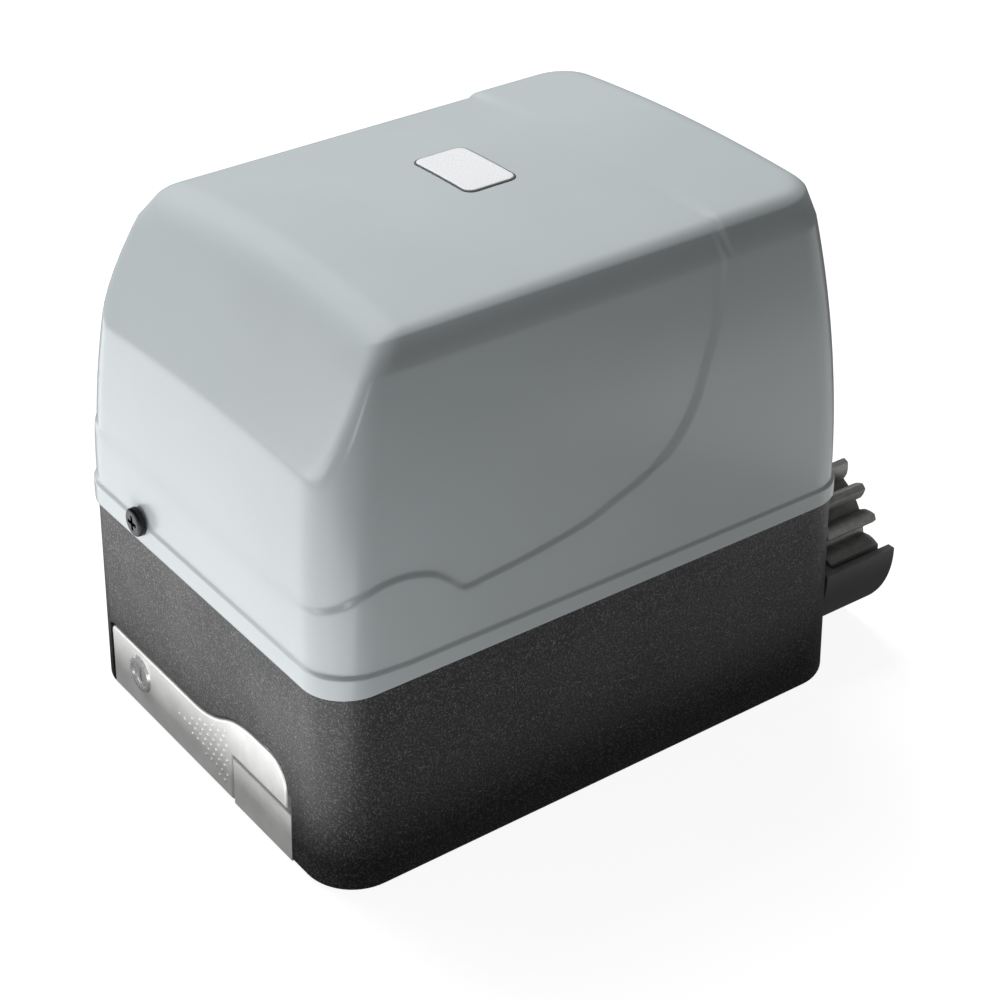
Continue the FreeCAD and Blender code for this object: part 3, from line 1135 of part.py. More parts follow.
def cam_face():
    """The cam that drives the rod: its radius grows evenly with angle from the rod side at rest (+Y)
    round to +X, by the clutch travel over a quarter turn, then drops back to the hub."""
    def spot(angle, radius):
        return Vector(hub[0] + radius * math.cos(angle), hub[1] + radius * math.sin(angle), cam_low)

    quarter = math.pi / 2
    rise = [spot(quarter * (1 - share), d.cam_radius + d.clutch_travel * share)
            for share in (0, 0.2, 0.4, 0.6, 0.8, 1.0)]
    line = Part.BSplineCurve()
    line.interpolate(rise)
    full = d.cam_radius + d.clutch_travel
    heel = spot(math.radians(-14), full)
    dwell_end = spot(math.radians(125), d.cam_radius)
    edges = [line.toShape(), Part.Arc(rise[-1], spot(math.radians(-7), full), heel).toShape(),
             Part.makeLine(heel, spot(math.radians(-60), 2)), Part.makeLine(spot(math.radians(-60), 2),
                                                                            dwell_end),
             Part.Arc(dwell_end, spot(math.radians(107), d.cam_radius), rise[0]).toShape()]
    return Part.Face(Part.Wire(edges))


outline = lever_face()
hollow_face = outline.makeOffset2D(-float(d.lever_rim))
lever_plate_rear = -half_depth - lean_out(d.lever_low_top) + d.lever_plate
lever = slab(outline, FRONT, lever_rear).cut(slab(hollow_face, lever_plate_rear, lever_rear + 1))
lever = lever.cut(block((d.lever_step_x - d.lever_rim - 1, d.lever_step_x + 2), (lever_plate_rear,
                                                                                 lever_rear + 1),
                        (0, d.lever_step_z + d.lever_rim + 1)))
lever = lever.fuse([
    pillar(d.hub_radius, d.lever_step_z + 0.8, d.hub_top, *hub),
    block((d.lever_rise_to - 4, d.shaft_x + 6), (lever_plate_rear - 1, d.pivot_y), (d.lever_step_z + 0.8,
                                                                                    d.lever_high_top - 4)),
    cam_face().extrude(Vector(0, 0, d.cam_thick)),
    spigot(d.lock_case_radius + 3, lever_plate_rear - 1, lever_rear, d.lock_x, d.lock_z)])
lever = lever.common(outer_form)
lever = lever.cut([
    pillar(d.pivot_radius + d.fit_gap, 0, d.pivot_pocket_top, *hub),
    spigot(d.lock_case_radius, FRONT, lock_room_back, d.lock_x, d.lock_z)])
lever = lever.removeSplitter()
lever_front = min((f for f in lever.Faces if f.Area > outline.Area / 2), key=lambda f: f.CenterOfMass.y)
solid("release_lever", lever.makeFillet(d.lever_edge, lever_front.OuterWire.Edges))

pivot_block = block((d.block_left, d.block_right), (FRONT, d.recess_back), (0.6,
                                                                            d.block_top)).common(outer_form)
pivot_block = pivot_block.cut([pillar(d.pivot_radius, 1, 40, *hub)])
solid("pivot_block", pivot_block)
sub_part(bar("pivot_bar", "Z", d.pivot_radius, (1, d.pivot_pocket_top + 3), d.shaft_x, d.pivot_y),
         "pivot_pin")

case_face = -half_depth - lean_out(d.lock_z) - 0.9
lock_nut_far = lever_rear + 3
case_rear = lock_room_back - 5
sub_part(turned("lock_case_turned", "Y", case_face, d.lock_x, d.lock_z, [
    (d.lock_plug_radius + d.fit_gap, 0.8), (d.lock_plug_radius + 0.8, 0), (d.lock_case_radius - 1.0, 0),
    (d.lock_case_radius, 1), (d.lock_case_radius, case_rear - case_face),
    (d.lock_plug_radius + d.fit_gap, case_rear - case_face)]), "lock_case")
sub_part(turned("lock_nut_turned", "Y", lever_rear, d.lock_x, d.lock_z, ring_profile(
    d.lock_case_radius, d.lock_case_radius + 2, lock_nut_far - lever_rear, 0.4)), "lock_nut")
plug = spigot(d.lock_plug_radius, case_face + 0.8, case_rear + 0.4, d.lock_x, d.lock_z)
plug = plug.cut(block((d.lock_x - 0.7, d.lock_x + 0.7), (case_face - 1, case_face + 9),
                      (d.lock_z - 3.4, d.lock_z + 3.4)))
plug = plug.fuse(spigot(2.6, case_rear, case_rear + 0.4 + d.tongue_thick + 0.4, d.lock_x, d.lock_z))
solid("lock_plug", plug)
tongue_near = case_rear + 0.4
tongue = block((d.lock_x - 4.5, d.lock_x + 4.5), (tongue_near, tongue_near + d.tongue_thick),
               (d.lock_z - d.tongue_reach, d.lock_z))
tongue = tongue.fuse(spigot(4.5, tongue_near, tongue_near + d.tongue_thick, d.lock_x, d.lock_z)).cut(
    spigot(2.6, tongue_near - 1, tongue_near + 4, d.lock_x, d.lock_z))
solid("lock_tongue", tongue)

rod_end = clutch_pin_y - d.clutch_pin_radius - 0.25
rod = spigot(d.rod_radius, rod_tip, rod_end, d.shaft_x, d.shaft_z)
dome = [e for e in rod.Edges if e.BoundBox.YMax < rod_tip + 0.01]
solid("release_rod", rod.makeFillet(d.rod_radius * 0.5, dome))
bush_near = d.pivot_pocket_back - 0.5
sub_part(turned("rod_bush_turned", "Y", bush_near, d.shaft_x, d.shaft_z, [
    (d.rod_radius + d.fit_gap, 0), (d.rod_radius + 2, 0), (d.rod_radius + 2, 4.5), (d.rod_radius + 5, 4.5),
    (d.rod_radius + 5, 6.5), (d.rod_radius + d.fit_gap, 6.5)]), "rod_bush")


# ---------------------------------------------------------------- motor
def square_body(node, low, height):
    """A rounded square block on the motor axis, ready for pockets."""
    body = doc.addObject("PartDesign::Body", node)
    sketch = sketch_on(body, "XY_Plane", node + "_outline")
    draw_rounded(sketch, d.motor_side / 2, d.motor_side / 2, d.motor_corner)
    pad(body, sketch, node + "_block", height)
    place(body, worm_x, d.wheel_y, low)
    return body


def bolt_holes(body, radius):
    """One bolt hole, repeated round the motor axis."""
    sketch = sketch_on(body, "XY_Plane", body.Name + "_bolt_hole")
    draw_circle(sketch, d.motor_bolt_offset, d.motor_bolt_offset, radius)
    hole = pocket(body, sketch, body.Name + "_bolt_cut", None, True)
    doc.recompute()
    pattern = body.newObject("PartDesign::PolarPattern", body.Name + "_bolts")
    pattern.Originals = [hole]
    pattern.Axis = (plane_axis(body), [""])
    pattern.Angle = 360
    pattern.Occurrences = 4
    body.Tip = pattern


def plane_axis(body):
    return next(f for f in body.Origin.OriginFeatures if f.Role == "Z_Axis")


def bore(body, name, radius, length=None, low=0):
    """A round pocket on the body's axis, upwards from a height."""
    sketch = sketch_on(body, "XY_Plane", name + "_circle", low)
    draw_circle(sketch, 0, 0, radius)
    pocket(body, sketch, name, length, True)


stack_low = d.motor_foot + d.shield_height
stack_high = stack_low + d.stack_height
shield_top = stack_high + d.shield_height
winding_outer = d.motor_side / 2 - 6
hub_outer = d.motor_bearing_outer + 3

lower = square_body("lower_shield_body", d.motor_foot, d.shield_height)
cup_sketch = sketch_on(lower, "XY_Plane", "lower_cup_circles", d.shield_wall)
draw_circle(cup_sketch, 0, 0, winding_outer + 1)
draw_circle(cup_sketch, 0, 0, hub_outer)
pocket(lower, cup_sketch, "lower_cup", d.shield_height, True)
bore(lower, "lower_top_clear", winding_outer + 1, d.shield_height, d.shield_wall + 9)
bore(lower, "lower_bearing_seat", d.motor_bearing_outer, d.shield_height, 3)
bore(lower, "lower_shaft_way", d.motor_shaft_radius + 3, d.shield_height)
bolt_holes(lower, d.motor_bolt_radius + 0.2)
sub_part(lower, "motor_lower_shield")

upper = square_body("upper_shield_body", stack_high, d.shield_height)
upper_cup = sketch_on(upper, "XY_Plane", "upper_cup_circles")
draw_circle(upper_cup, 0, 0, winding_outer + 1)
draw_circle(upper_cup, 0, 0, hub_outer)
pocket(upper, upper_cup, "upper_cup", d.shield_height - d.shield_wall, True)
bore(upper, "upper_rotor_clear", winding_outer + 1, d.shield_height - d.shield_wall - 9)
bore(upper, "upper_bearing_seat", d.motor_bearing_outer, d.shield_height - 3)
bore(upper, "upper_shaft_way", d.motor_shaft_radius + 2, d.shield_height - 1.5)
bolt_holes(upper, d.motor_bolt_radius + 0.2)
sub_part(upper, "motor_upper_shield")

stack = square_body("stack_body", stack_low, d.stack_height)
bore(stack, "stack_bore", d.rotor_radius + d.air_gap)
bolt_holes(stack, d.motor_bolt_radius + 0.2)
sub_part(stack, "stator_stack")

winding_height = 11.0
winding_profile = [(d.rotor_radius + 3, 2), (d.rotor_radius + 5, 0), (winding_outer - 2, 0),
                   (winding_outer, 2),
                   (winding_outer, winding_height - 2), (winding_outer - 2, winding_height),
                   (d.rotor_radius + 5, winding_height), (d.rotor_radius + 3, winding_height - 2)]
lower_coil = turned("lower_coil", "Z", stack_low - winding_height, worm_x, d.wheel_y, winding_profile)
upper_coil = turned("upper_coil", "Z", stack_high, worm_x, d.wheel_y, winding_profile)
coils = doc.addObject("Part::Compound", "coils")
coils.Links = [lower_coil, upper_coil]
sub_part(coils, "stator_windings")

worm_foot = d.base_floor + 4
lower_bearing_width = 10.0
worm_turns = 6
worm_lead = math.pi * d.worm_module
worm_root = d.worm_pitch_radius - 1.2 * d.worm_module
worm_tip = d.worm_pitch_radius + d.worm_module
thread_low = d.shaft_z - worm_turns / 2 * worm_lead
shaft_top = shield_top - 2
motor_bearing_low = d.motor_foot + 3
upper_bearing_high = shield_top - 3
profile = [
    (0, 0), (d.worm_bearing_inner, 0), (d.worm_bearing_inner, lower_bearing_width),
    (worm_root, lower_bearing_width), (worm_root, thread_low + worm_turns * worm_lead + 4 - worm_foot),
    (d.motor_shaft_radius + 2.0, motor_bearing_low - worm_foot - 4),
    (d.motor_shaft_radius + 2.0, motor_bearing_low - worm_foot),
    (d.motor_shaft_radius, motor_bearing_low - worm_foot), (d.motor_shaft_radius, shaft_top - worm_foot),
    (0, shaft_top - worm_foot)]
worm_core = turned("worm_core", "Z", worm_foot, worm_x, d.wheel_y, profile)
doc.recompute()
helix = Part.makeHelix(worm_lead, worm_turns * worm_lead, worm_root)
tooth = Part.makePolygon([Vector(worm_root - 0.5, 0, -1.95), Vector(worm_tip, 0, -0.6), Vector(worm_tip,
                                                                                               0, 0.6),
                          Vector(worm_root - 0.5, 0, 1.95), Vector(worm_root - 0.5, 0, -1.95)])
thread = Part.Wire(helix).makePipeShell([tooth], True, True)
thread.translate(Vector(worm_x, d.wheel_y, thread_low))
solid("worm_shaft", worm_core.Shape.fuse(thread))

rotor_low, rotor_high = stack_low - 1, stack_high + 1
sub_part(turned("rotor_turned", "Z", rotor_low, worm_x, d.wheel_y, [
    (d.motor_shaft_radius, 0), (d.rotor_radius - 3, 0), (d.rotor_radius - 3, 2), (d.rotor_radius, 2),
    (d.rotor_radius, rotor_high - rotor_low - 2), (d.rotor_radius - 3, rotor_high - rotor_low - 2),
    (d.rotor_radius - 3, rotor_high - rotor_low), (d.motor_shaft_radius, rotor_high - rotor_low)]),
         "rotor_core")
bearing("worm_bearing", "Z", worm_foot, worm_x, d.wheel_y, d.worm_bearing_inner, d.worm_bearing_outer,
        lower_bearing_width)
bearing("motor_bearing_lower", "Z", motor_bearing_low, worm_x, d.wheel_y, d.motor_shaft_radius,
        d.motor_bearing_outer, d.motor_bearing_width)
bearing("motor_bearing_upper", "Z", upper_bearing_high - d.motor_bearing_width, worm_x, d.wheel_y,
        d.motor_shaft_radius, d.motor_bearing_outer, d.motor_bearing_width)
bolt_length = shield_top - d.motor_foot + 8
solid("motor_bolts", group(screw(4.6, 4.0, d.motor_bolt_radius, bolt_length), [
    ((worm_x + sx * d.motor_bolt_offset, d.wheel_y + sy * d.motor_bolt_offset, shield_top), DOWN)
    for sx in (-1, 1) for sy in (-1, 1)]))

# ---------------------------------------------------------------- electrics
tray_low = d.base_height + d.lip_height
tray_top = tray_low + d.tray_thick
tray_half_x = d.cover_width / 2 - d.cover_wall - 2 * d.running_gap
tray_half_y = d.cover_depth / 2 - d.cover_wall - 2 * d.running_gap
tray_body = doc.addObject("PartDesign::Body", "tray_body")
tray_sketch = sketch_on(tray_body, "XY_Plane", "tray_outline", tray_low)
draw_rounded(tray_sketch, tray_half_x, tray_half_y, d.cover_corner - d.cover_wall - 2 * d.running_gap)
pad(tray_body, tray_sketch, "tray_plate", d.tray_thick)
board_mid_y = d.board_front + d.board_width / 2
posts = [bar(f"board_post_{i}", "Z", 3.2, (tray_low, tray_top + d.standoff),
             sx * (d.board_length / 2 - 5), board_mid_y + sy * (d.board_width / 2 - 5))
         for i, (sx, sy) in enumerate(((-1, -1), (1, -1), (1, 1), (-1, 1)))]
tray_edge = box("tray_edge", (-d.board_length / 2 - 8, d.board_length / 2 + 8), (d.tray_rear - 2.5,
                                                                                 d.tray_rear),
                (tray_low, tray_top + 7))
tray_cuts = [box("tray_rear_cut", (-half_width - 5, half_width + 5), (d.tray_rear, half_depth + 5),
                 (tray_low - 1, tray_top + 1)),
             box("tray_lug_cut", (-d.cover_screw_x - d.lug_width / 2 - 1,
                                  -d.cover_screw_x + d.lug_width / 2 + 1),
                 (-half_depth - 5, -lug_face + d.lug_thick + 6), (tray_low - 1, tray_top + 1)),
             box("tray_wire_way", (-38, 38), (d.tray_rear - 18, d.tray_rear - 7), (tray_low - 1,
                                                                                   tray_top + 1))]
tray_cuts += [bar(f"post_hole_{i}", "Z", 1.2, (tray_top, tray_top + d.standoff + 1),
                  sx * (d.board_length / 2 - 5), board_mid_y + sy * (d.board_width / 2 - 5))
              for i, (sx, sy) in enumerate(((-1, -1), (1, -1), (1, 1), (-1, 1)))]
sub_part(fuse("tray_whole", cut("tray_cut", fuse("tray_solid", tray_body, *posts), *tray_cuts), tray_edge),
         "board_tray")
board_low = tray_top + d.standoff
board_top = board_low + d.board_thick
board_holes = [bar(f"board_hole_{i}", "Z", 1.6, (board_low - 1, board_top + 1),
                   sx * (d.board_length / 2 - 5), board_mid_y + sy * (d.board_width / 2 - 5))
               for i, (sx, sy) in enumerate(((-1, -1), (1, -1), (1, 1), (-1, 1)))]
sub_part(cut("board_cut", box("board_sheet", (-d.board_length / 2, d.board_length / 2),
                              (d.board_front, d.board_front + d.board_width), (board_low, board_top)),
             *board_holes), "control_board")
solid("board_screws", group(screw(2.8, 2.2, 1.2, 6), [
    ((sx * (d.board_length / 2 - 5), board_mid_y + sy * (d.board_width / 2 - 5), board_top), DOWN)
    for sx in (-1, 1) for sy in (-1, 1)]))


def terminal_block(left, front, ways, pitch):
    """A row of screw terminals: wire mouths in front, screw wells on top."""
    deep, high = 9.0, 11.0
    width = ways * pitch
    shape = block((left, left + width), (front, front + deep), (board_top, board_top + high))
    wells = []
    for way in range(ways):
        x = left + (way + 0.5) * pitch
        wells.append(pillar(1.7, board_top + high - 3, board_top + high + 1, x, front + deep * 0.6))
        wells.append(block((x - 1.6, x + 1.6), (front - 1, front + 3), (board_top + 1.5, board_top + 5.5)))
    return shape.cut(wells)


# three rows of 5, 6 and 7 ways fill the front edge of the board between its two front screws
left_margin, right_margin, row_gap = 17.0, 13.0, 5.0
terminal_pitch = (d.board_length - left_margin - right_margin - 2 * row_gap) / (5 + 6 + 7)
rows, row_start = [], left_margin - d.board_length / 2
for ways in (5, 6, 7):
    rows.append(terminal_block(row_start, d.board_front + 2, ways, terminal_pitch))
    row_start = row_start + ways * terminal_pitch + row_gap
solid("board_terminals", Part.makeCompound(rows))
relay_spots = [(-38, -52), (-16, -52)]
relays = [box(f"relay_{i}", (x, x + 19), (y, y + 15.5), (board_top, board_top + 15.5))
          for i, (x, y) in enumerate(relay_spots)]
relay_group = doc.addObject("Part::Compound", "relay_group")
relay_group.Links = relays
sub_part(relay_group, "board_relays")
fuse_near = -76
solid("board_fuse", block((8, 32), (fuse_near - 5, fuse_near + 5), (board_top, board_top + 4)).fuse([
    Part.makeCylinder(2.6, 20, Vector(10, fuse_near, board_top + 6.2), Vector(1, 0, 0)),
    block((10, 14), (fuse_near - 3, fuse_near + 3), (board_top, board_top + 9)),
    block((26, 30), (fuse_near - 3, fuse_near + 3), (board_top, board_top + 9))]))
solid("board_chips", Part.makeCompound([
    block((-48, -38), (-78, -68), (board_top, board_top + 1.6)),
    block((-30, -12), (-80, -72), (board_top, board_top + 3.0)),
    pillar(6.3, board_top, board_top + 20, 18, -48), pillar(4.0, board_top, board_top + 11, 34, -50),
    pillar(4.0, board_top, board_top + 11, 45, -50)]))

can = turned("capacitor_can", "Z", d.base_floor, d.capacitor_x, d.capacitor_y, [
    (0, 0), (d.capacitor_radius - 1.5, 0), (d.capacitor_radius, 1.5), (d.capacitor_radius,
                                                                       d.capacitor_height - 1.5),
    (d.capacitor_radius - 1.5, d.capacitor_height), (d.capacitor_radius - 3, d.capacitor_height),
    (d.capacitor_radius - 3, d.capacitor_height - 1.5), (0, d.capacitor_height - 1.5)])
tabs = [box(f"capacitor_tab_{i}", (d.capacitor_x + x - 0.4, d.capacitor_x + x + 0.4),
            (d.capacitor_y - 3, d.capacitor_y + 3),
            (d.base_floor + d.capacitor_height - 3, d.base_floor + d.capacitor_height + 6)) for i,
        x in enumerate((-5, 5))]
sub_part(fuse("capacitor_whole", can, *tabs), "run_capacitor")
clip_low, clip_high = 45.0, 57.0
wall_inside = d.base_wall - half_width - lean_out(clip_high)
clip = pillar(d.capacitor_radius + 1.6, clip_low, clip_high, d.capacitor_x, d.capacitor_y).fuse(
    block((wall_inside, d.capacitor_x), (d.capacitor_y - 8, d.capacitor_y + 8), (clip_low, clip_high)))
clip = clip.cut([pillar(d.capacitor_radius, clip_low - 1, clip_high + 1, d.capacitor_x, d.capacitor_y),
                 block((d.capacitor_x + 8, d.capacitor_x + 30), (d.capacitor_y - 4, d.capacitor_y + 4),
                       (clip_low - 1, clip_high + 1))])
solid("capacitor_clip", clip)

core_low = d.base_floor + 3
tx, ty = d.transformer_x, d.transformer_y
core = block((tx - 30, tx + 30), (ty - 12, ty + 12), (core_low, core_low + 50)).cut([
    block((tx - 20, tx - 10), (ty - 13, ty + 13), (core_low + 10, core_low + 40)),
    block((tx + 10, tx + 20), (ty - 13, ty + 13), (core_low + 10, core_low + 40))])
solid("transformer_core", core)
coil_block = block((tx - 19.5, tx + 19.5), (ty - 21, ty + 21), (core_low + 10.5, core_low + 39.5))
upright = [e for e in coil_block.Edges if abs(e.Vertexes[0].Z - e.Vertexes[-1].Z) > 20]
coil_block = coil_block.makeFillet(5, upright).cut([
    block((tx - 10, tx + 10), (ty - 12, ty + 12), (core_low, core_low + 50)),
    block((tx - 30, tx - 19.5), (ty - 12, ty + 12), (core_low, core_low + 50))])
solid("transformer_coil", coil_block)
strap = block((tx - 38, tx + 38), (ty - 12, ty + 12), (d.base_floor, core_low))
solid("transformer_strap", strap.cut([pillar(2.0, 0, 20, tx + x, ty) for x in (-strap_reach, strap_reach)]))
solid("transformer_screws", group(screw(3.8, 2.8, d.small_screw_radius, 6), [
    ((tx + x, ty, core_low), DOWN) for x in (-strap_reach, strap_reach)]))

grommet_low = 0.6
sub_part(turned("grommet_turned", "Z", grommet_low, d.grommet_x, 0, [
    (d.grommet_bore, 0), (d.grommet_seat, 0), (d.grommet_seat, d.base_floor - grommet_low),
    (d.grommet_seat + 4, d.base_floor - grommet_low), (d.grommet_seat + 3, d.base_floor + 2.5),
    (d.grommet_bore + 3, d.base_floor + 3), (d.grommet_bore + 2, d.base_floor + 14),
    (d.grommet_bore, d.base_floor + 14)]), "cable_grommet")
sensor_far = half_depth + lean_out(76) - d.base_wall
sub_part(fuse("sensor_whole",
              box("sensor_case", (-34, -6), (sensor_far - 14, sensor_far), (58, 76)),
              box("sensor_ears", (-40, 0), (sensor_far - 3, sensor_far), (63, 71))), "limit_sensor")

# ---------------------------------------------------------------- checks and export
doc.recompute()
failed = [o.Name for o in doc.Objects if {"Invalid", "Error"} & set(o.State)]
broken = [o.Label for o in SUB_PARTS if o.Shape.isNull() or not o.Shape.isValid() or not o.Shape.Solids]
if failed or broken:
    raise RuntimeError(f"failed: {failed}, broken: {broken}")
for o in SUB_PARTS:
    o.Shape.exportStep(f"parts/{o.Label}.step")
print(len(SUB_PARTS), "sub-parts written")
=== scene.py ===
# %% [markdown]
# # A sliding gate motor, dressed in Blender
# The real object is a black moulded base with a pale, smooth, lift-off cover, a satin metal release
# lever at the front and a toothed pinion out of the back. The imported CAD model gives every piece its
# place and size, so this script only adds finer surfaces, finishes, a floor, lights and a camera.

import json
import math

import bpy
import numpy as np
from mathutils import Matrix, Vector


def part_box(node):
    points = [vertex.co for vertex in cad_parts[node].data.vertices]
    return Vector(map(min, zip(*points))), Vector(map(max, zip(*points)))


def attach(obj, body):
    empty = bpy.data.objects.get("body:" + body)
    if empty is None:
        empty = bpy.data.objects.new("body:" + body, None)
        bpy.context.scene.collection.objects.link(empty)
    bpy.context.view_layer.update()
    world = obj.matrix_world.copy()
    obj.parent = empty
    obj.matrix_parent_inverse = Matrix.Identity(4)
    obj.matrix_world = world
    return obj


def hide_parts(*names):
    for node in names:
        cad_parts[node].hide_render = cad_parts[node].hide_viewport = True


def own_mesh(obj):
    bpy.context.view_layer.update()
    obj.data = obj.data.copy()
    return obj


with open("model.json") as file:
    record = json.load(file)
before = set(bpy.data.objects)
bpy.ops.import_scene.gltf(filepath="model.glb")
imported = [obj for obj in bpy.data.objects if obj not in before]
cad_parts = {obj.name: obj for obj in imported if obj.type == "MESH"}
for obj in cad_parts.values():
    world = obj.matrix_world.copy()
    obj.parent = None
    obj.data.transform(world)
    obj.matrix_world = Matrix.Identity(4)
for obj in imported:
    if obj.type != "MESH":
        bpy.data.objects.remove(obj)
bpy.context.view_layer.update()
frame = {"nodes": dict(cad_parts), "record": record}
nodes = frame["nodes"]
MM = 0.001

# %% [markdown]
# ## Writing shader maths as plain expressions
# A finish is a small formula: dust is where the noise is high and the face looks up, a scratch is where
# a stretched noise passes a threshold. Wrapping a socket in a class with + - * / lets the formula be
# written as one, and each operator adds its Math node. One method makes every other kind of node.


# %% A value in a shader
class Wave:
    """A number or colour that comes out of a shader node, with the arithmetic operators."""

    def __init__(self, finish, socket):
        self.finish = finish
        self.socket = socket

    def _math(self, operation, *values):
        sockets = {i: v for i, v in enumerate(values)}
        return self.finish.node("ShaderNodeMath", sockets, operation=operation)

    def __add__(self, other):
        return self._math("ADD", self, other)

    __radd__ = __add__

    def __sub__(self, other):
        return self._math("SUBTRACT", self, other)

    def __mul__(self, other):
        return self._math("MULTIPLY", self, other)

    __rmul__ = __mul__

    def clamp(self):
        """Held between 0 and 1."""
        return self._math("MAXIMUM", self._math("MINIMUM", self, 1.0), 0.0)

    def between(self, low, high):
        """0 below low, 1 above high, and a smooth rise from one to the other."""
        return self.finish.node(
            "ShaderNodeMapRange", {"Value": self, "From Min": low, "From Max": high},
            interpolation_type="SMOOTHSTEP")


# %% A finish: one material and the nodes it is made of
class Finish:
    """A Principled material whose varying values are given as Waves and whose constants are set plainly."""

    def __init__(self, name, **constants):
        self.material = bpy.data.materials.new(name)
        self.material.use_nodes = True
        self.tree = self.material.node_tree
        self.shader = next(n for n in self.tree.nodes if n.type == "BSDF_PRINCIPLED")
        for socket, value in constants.items():
            self.shader.inputs[socket.replace("_", " ")].default_value = value
        self.where = self.node("ShaderNodeTexCoord", output="Object")

    def node(self, kind, sockets=None, output=0, **settings):
        """Add a node: its settings first, then the values or links of its sockets; gives one output."""
        made = self.tree.nodes.new(kind)
        for name, value in settings.items():
            setattr(made, name, value)
        for name, value in (sockets or {}).items():
            self._feed(made.inputs[name], value)
        return Wave(self, made.outputs[output])

    def _feed(self, socket, value):
        if isinstance(value, Wave):
            self.tree.links.new(value.socket, socket)
        else:
            socket.default_value = value

    def noise(self, size, detail=2.0, rough=0.5, where=None):
        """Noise whose lumps are about size across, in metres."""
        return self.node("ShaderNodeTexNoise", {
            "Vector": where or self.where, "Scale": 1.0 / size, "Detail": detail, "Roughness": rough},
            output="Fac")

    def stretched(self, across, along, up):
        """The object's coordinates scaled along each axis, for brushed and drawn patterns."""
        return self.node("ShaderNodeMapping", {"Vector": self.where, "Scale": (across, along, up)})

    def mix(self, share, first, second):
        """A colour that goes from the first to the second as share goes from 0 to 1."""
        return self.node("ShaderNodeMix", {0: share, 6: first, 7: second}, output=2, data_type="RGBA")

    def paint(self, **inputs):
        """Feed the shader's sockets."""
        for name, value in inputs.items():
            self._feed(self.shader.inputs[name.replace("_", " ")], value)
        return self

    def bump(self, height, strength, distance):
        """A Bump node on the shader's Normal."""
        sockets = {"Height": height, "Strength": strength, "Distance": distance}
        self._feed(self.shader.inputs["Normal"], self.node("ShaderNodeBump", sockets))


def grey(level):
    """An opaque grey."""
    return (level, level, level, 1.0)


print("shader helpers ready")

# %% [markdown]
# ## The finishes
# The cover is a smooth pale plastic with a soft gloss: its colour hardly varies, so what makes it real is
# faint dust in the grain and a roughness that changes slowly over hand-sized areas.

# %% Cover plastic
def cover_plastic():
    """Pale grey: two near shades in slow clouds, a trace of dust, and a fine grain in the gloss."""
    finish = Finish("cover_plastic", IOR=1.5)
    cloud = finish.noise(0.09, 3.0)
    grain = finish.noise(0.0007, 2.0)
    speck = finish.noise(0.004, 2.0).between(0.62, 0.74)
    body = finish.mix(cloud.between(0.3, 0.7), (0.425, 0.462, 0.475, 1), (0.445, 0.484, 0.498, 1))
    colour = finish.mix(speck * 0.04, body, (0.42, 0.42, 0.41, 1))
    finish.paint(Base_Color=colour, Roughness=0.21 + 0.05 * cloud + 0.02 * grain)
    finish.bump(grain, 0.05, 0.0001)
    return finish.material


# %% [markdown]
# The base is black plastic from a spark-eroded mould: a coarse grain of low bumps, about a millimetre
# across. Its colour has painted shade in the valleys and painted glints of light on the tops.

# %% Base plastic
def grained_plastic(name, colour, cell=0.0009, strength=0.45, roughness=0.44):
    """Painted shade in the valleys, paler tops where the coarse noise is high, and painted glints where the
    fine one is too.
    """
    finish = Finish(name)
    coarse = finish.noise(cell, 3.0, 0.6)
    fine = finish.noise(cell * 0.35, 2.0, 0.6)
    tops = coarse.between(0.44, 0.60)
    # Painted glint mask: the spots of the tops that get pale specks of painted light.
    painted_glint = fine.between(0.54, 0.62) * tops
    wear = finish.noise(0.05, 3.0).between(0.35, 0.75)
    # Painted shade: the colour is darker in the grain's valleys, where the coarse noise is low.
    dark = finish.mix(tops, [c * 0.45 for c in colour[:3]] + [1], colour)
    # Painted glints: pale specks mixed into the colour on the grain's tops.
    lit = finish.mix(painted_glint * 0.8, dark, [c * 3.0 + 0.24 for c in colour[:3]] + [1])
    finish.paint(Base_Color=lit, Roughness=roughness + 0.12 * wear - 0.18 * painted_glint)
    finish.bump(coarse * 0.7 + fine * 0.3, strength, 0.0004)
    return finish.material


# %% [markdown]
# Metals come in three kinds here: die-cast alloy with the soft mottling of its skin, turned and ground
# steel with fine rings or lines, and zinc-plated small parts. One function covers them, with the size of
# the mottling, the direction of the lines and the roughness as its numbers.

# %% Metals
def metal(name, colour, roughness=0.35, mottle=0.006, line_scale=None, line_bump=0.0, grain=0.0004,
          grain_bump=0.05, stain=0.25, metallic=1.0):
    """Mottled metal: clouds of the duller shade, grains or stretched lines in its gloss and relief."""
    finish = Finish(name, Metallic=metallic)
    cloud = finish.noise(mottle, 4.0, 0.6)
    grains = finish.noise(grain, 2.0)
    dull = [c * (1 - stain) for c in colour[:3]] + [1]
    shade = finish.mix(cloud.between(0.3, 0.75), dull, colour)
    rough = roughness + 0.16 * (cloud - 0.5) + 0.06 * (grains - 0.5)
    height = grains
    if line_scale is not None:
        lines = finish.noise(1.0, 2.0, 0.6, where=finish.stretched(*line_scale))
        rough = rough + 0.18 * (lines - 0.5)
        height = grains * 0.3 + lines * (0.7 + line_bump)
    finish.paint(Base_Color=shade, Roughness=rough.clamp())
    finish.bump(height, grain_bump, 0.0002)
    return finish.material


# %% [markdown]
# The remaining finishes are plain mouldings, rubber, varnished copper and a solder-masked board. Each
# still has its own grain, so that nothing is one flat colour.

# %% Plastics, rubber and electrical finishes
def moulded(name, colour, roughness=0.4, grain=0.0006, grain_bump=0.08, cloud_size=0.02):
    """Smooth moulded plastic or rubber: slow clouds of a darker shade and a fine skin."""
    finish = Finish(name)
    cloud = finish.noise(cloud_size, 3.0)
    fine = finish.noise(grain, 2.0)
    darker = [c * 0.86 for c in colour[:3]] + [1]
    finish.paint(Base_Color=finish.mix(cloud.between(0.3, 0.7), darker, colour),
                 Roughness=roughness + 0.12 * (cloud - 0.5) + 0.05 * fine)
    finish.bump(fine, grain_bump, 0.0001)
    return finish.material


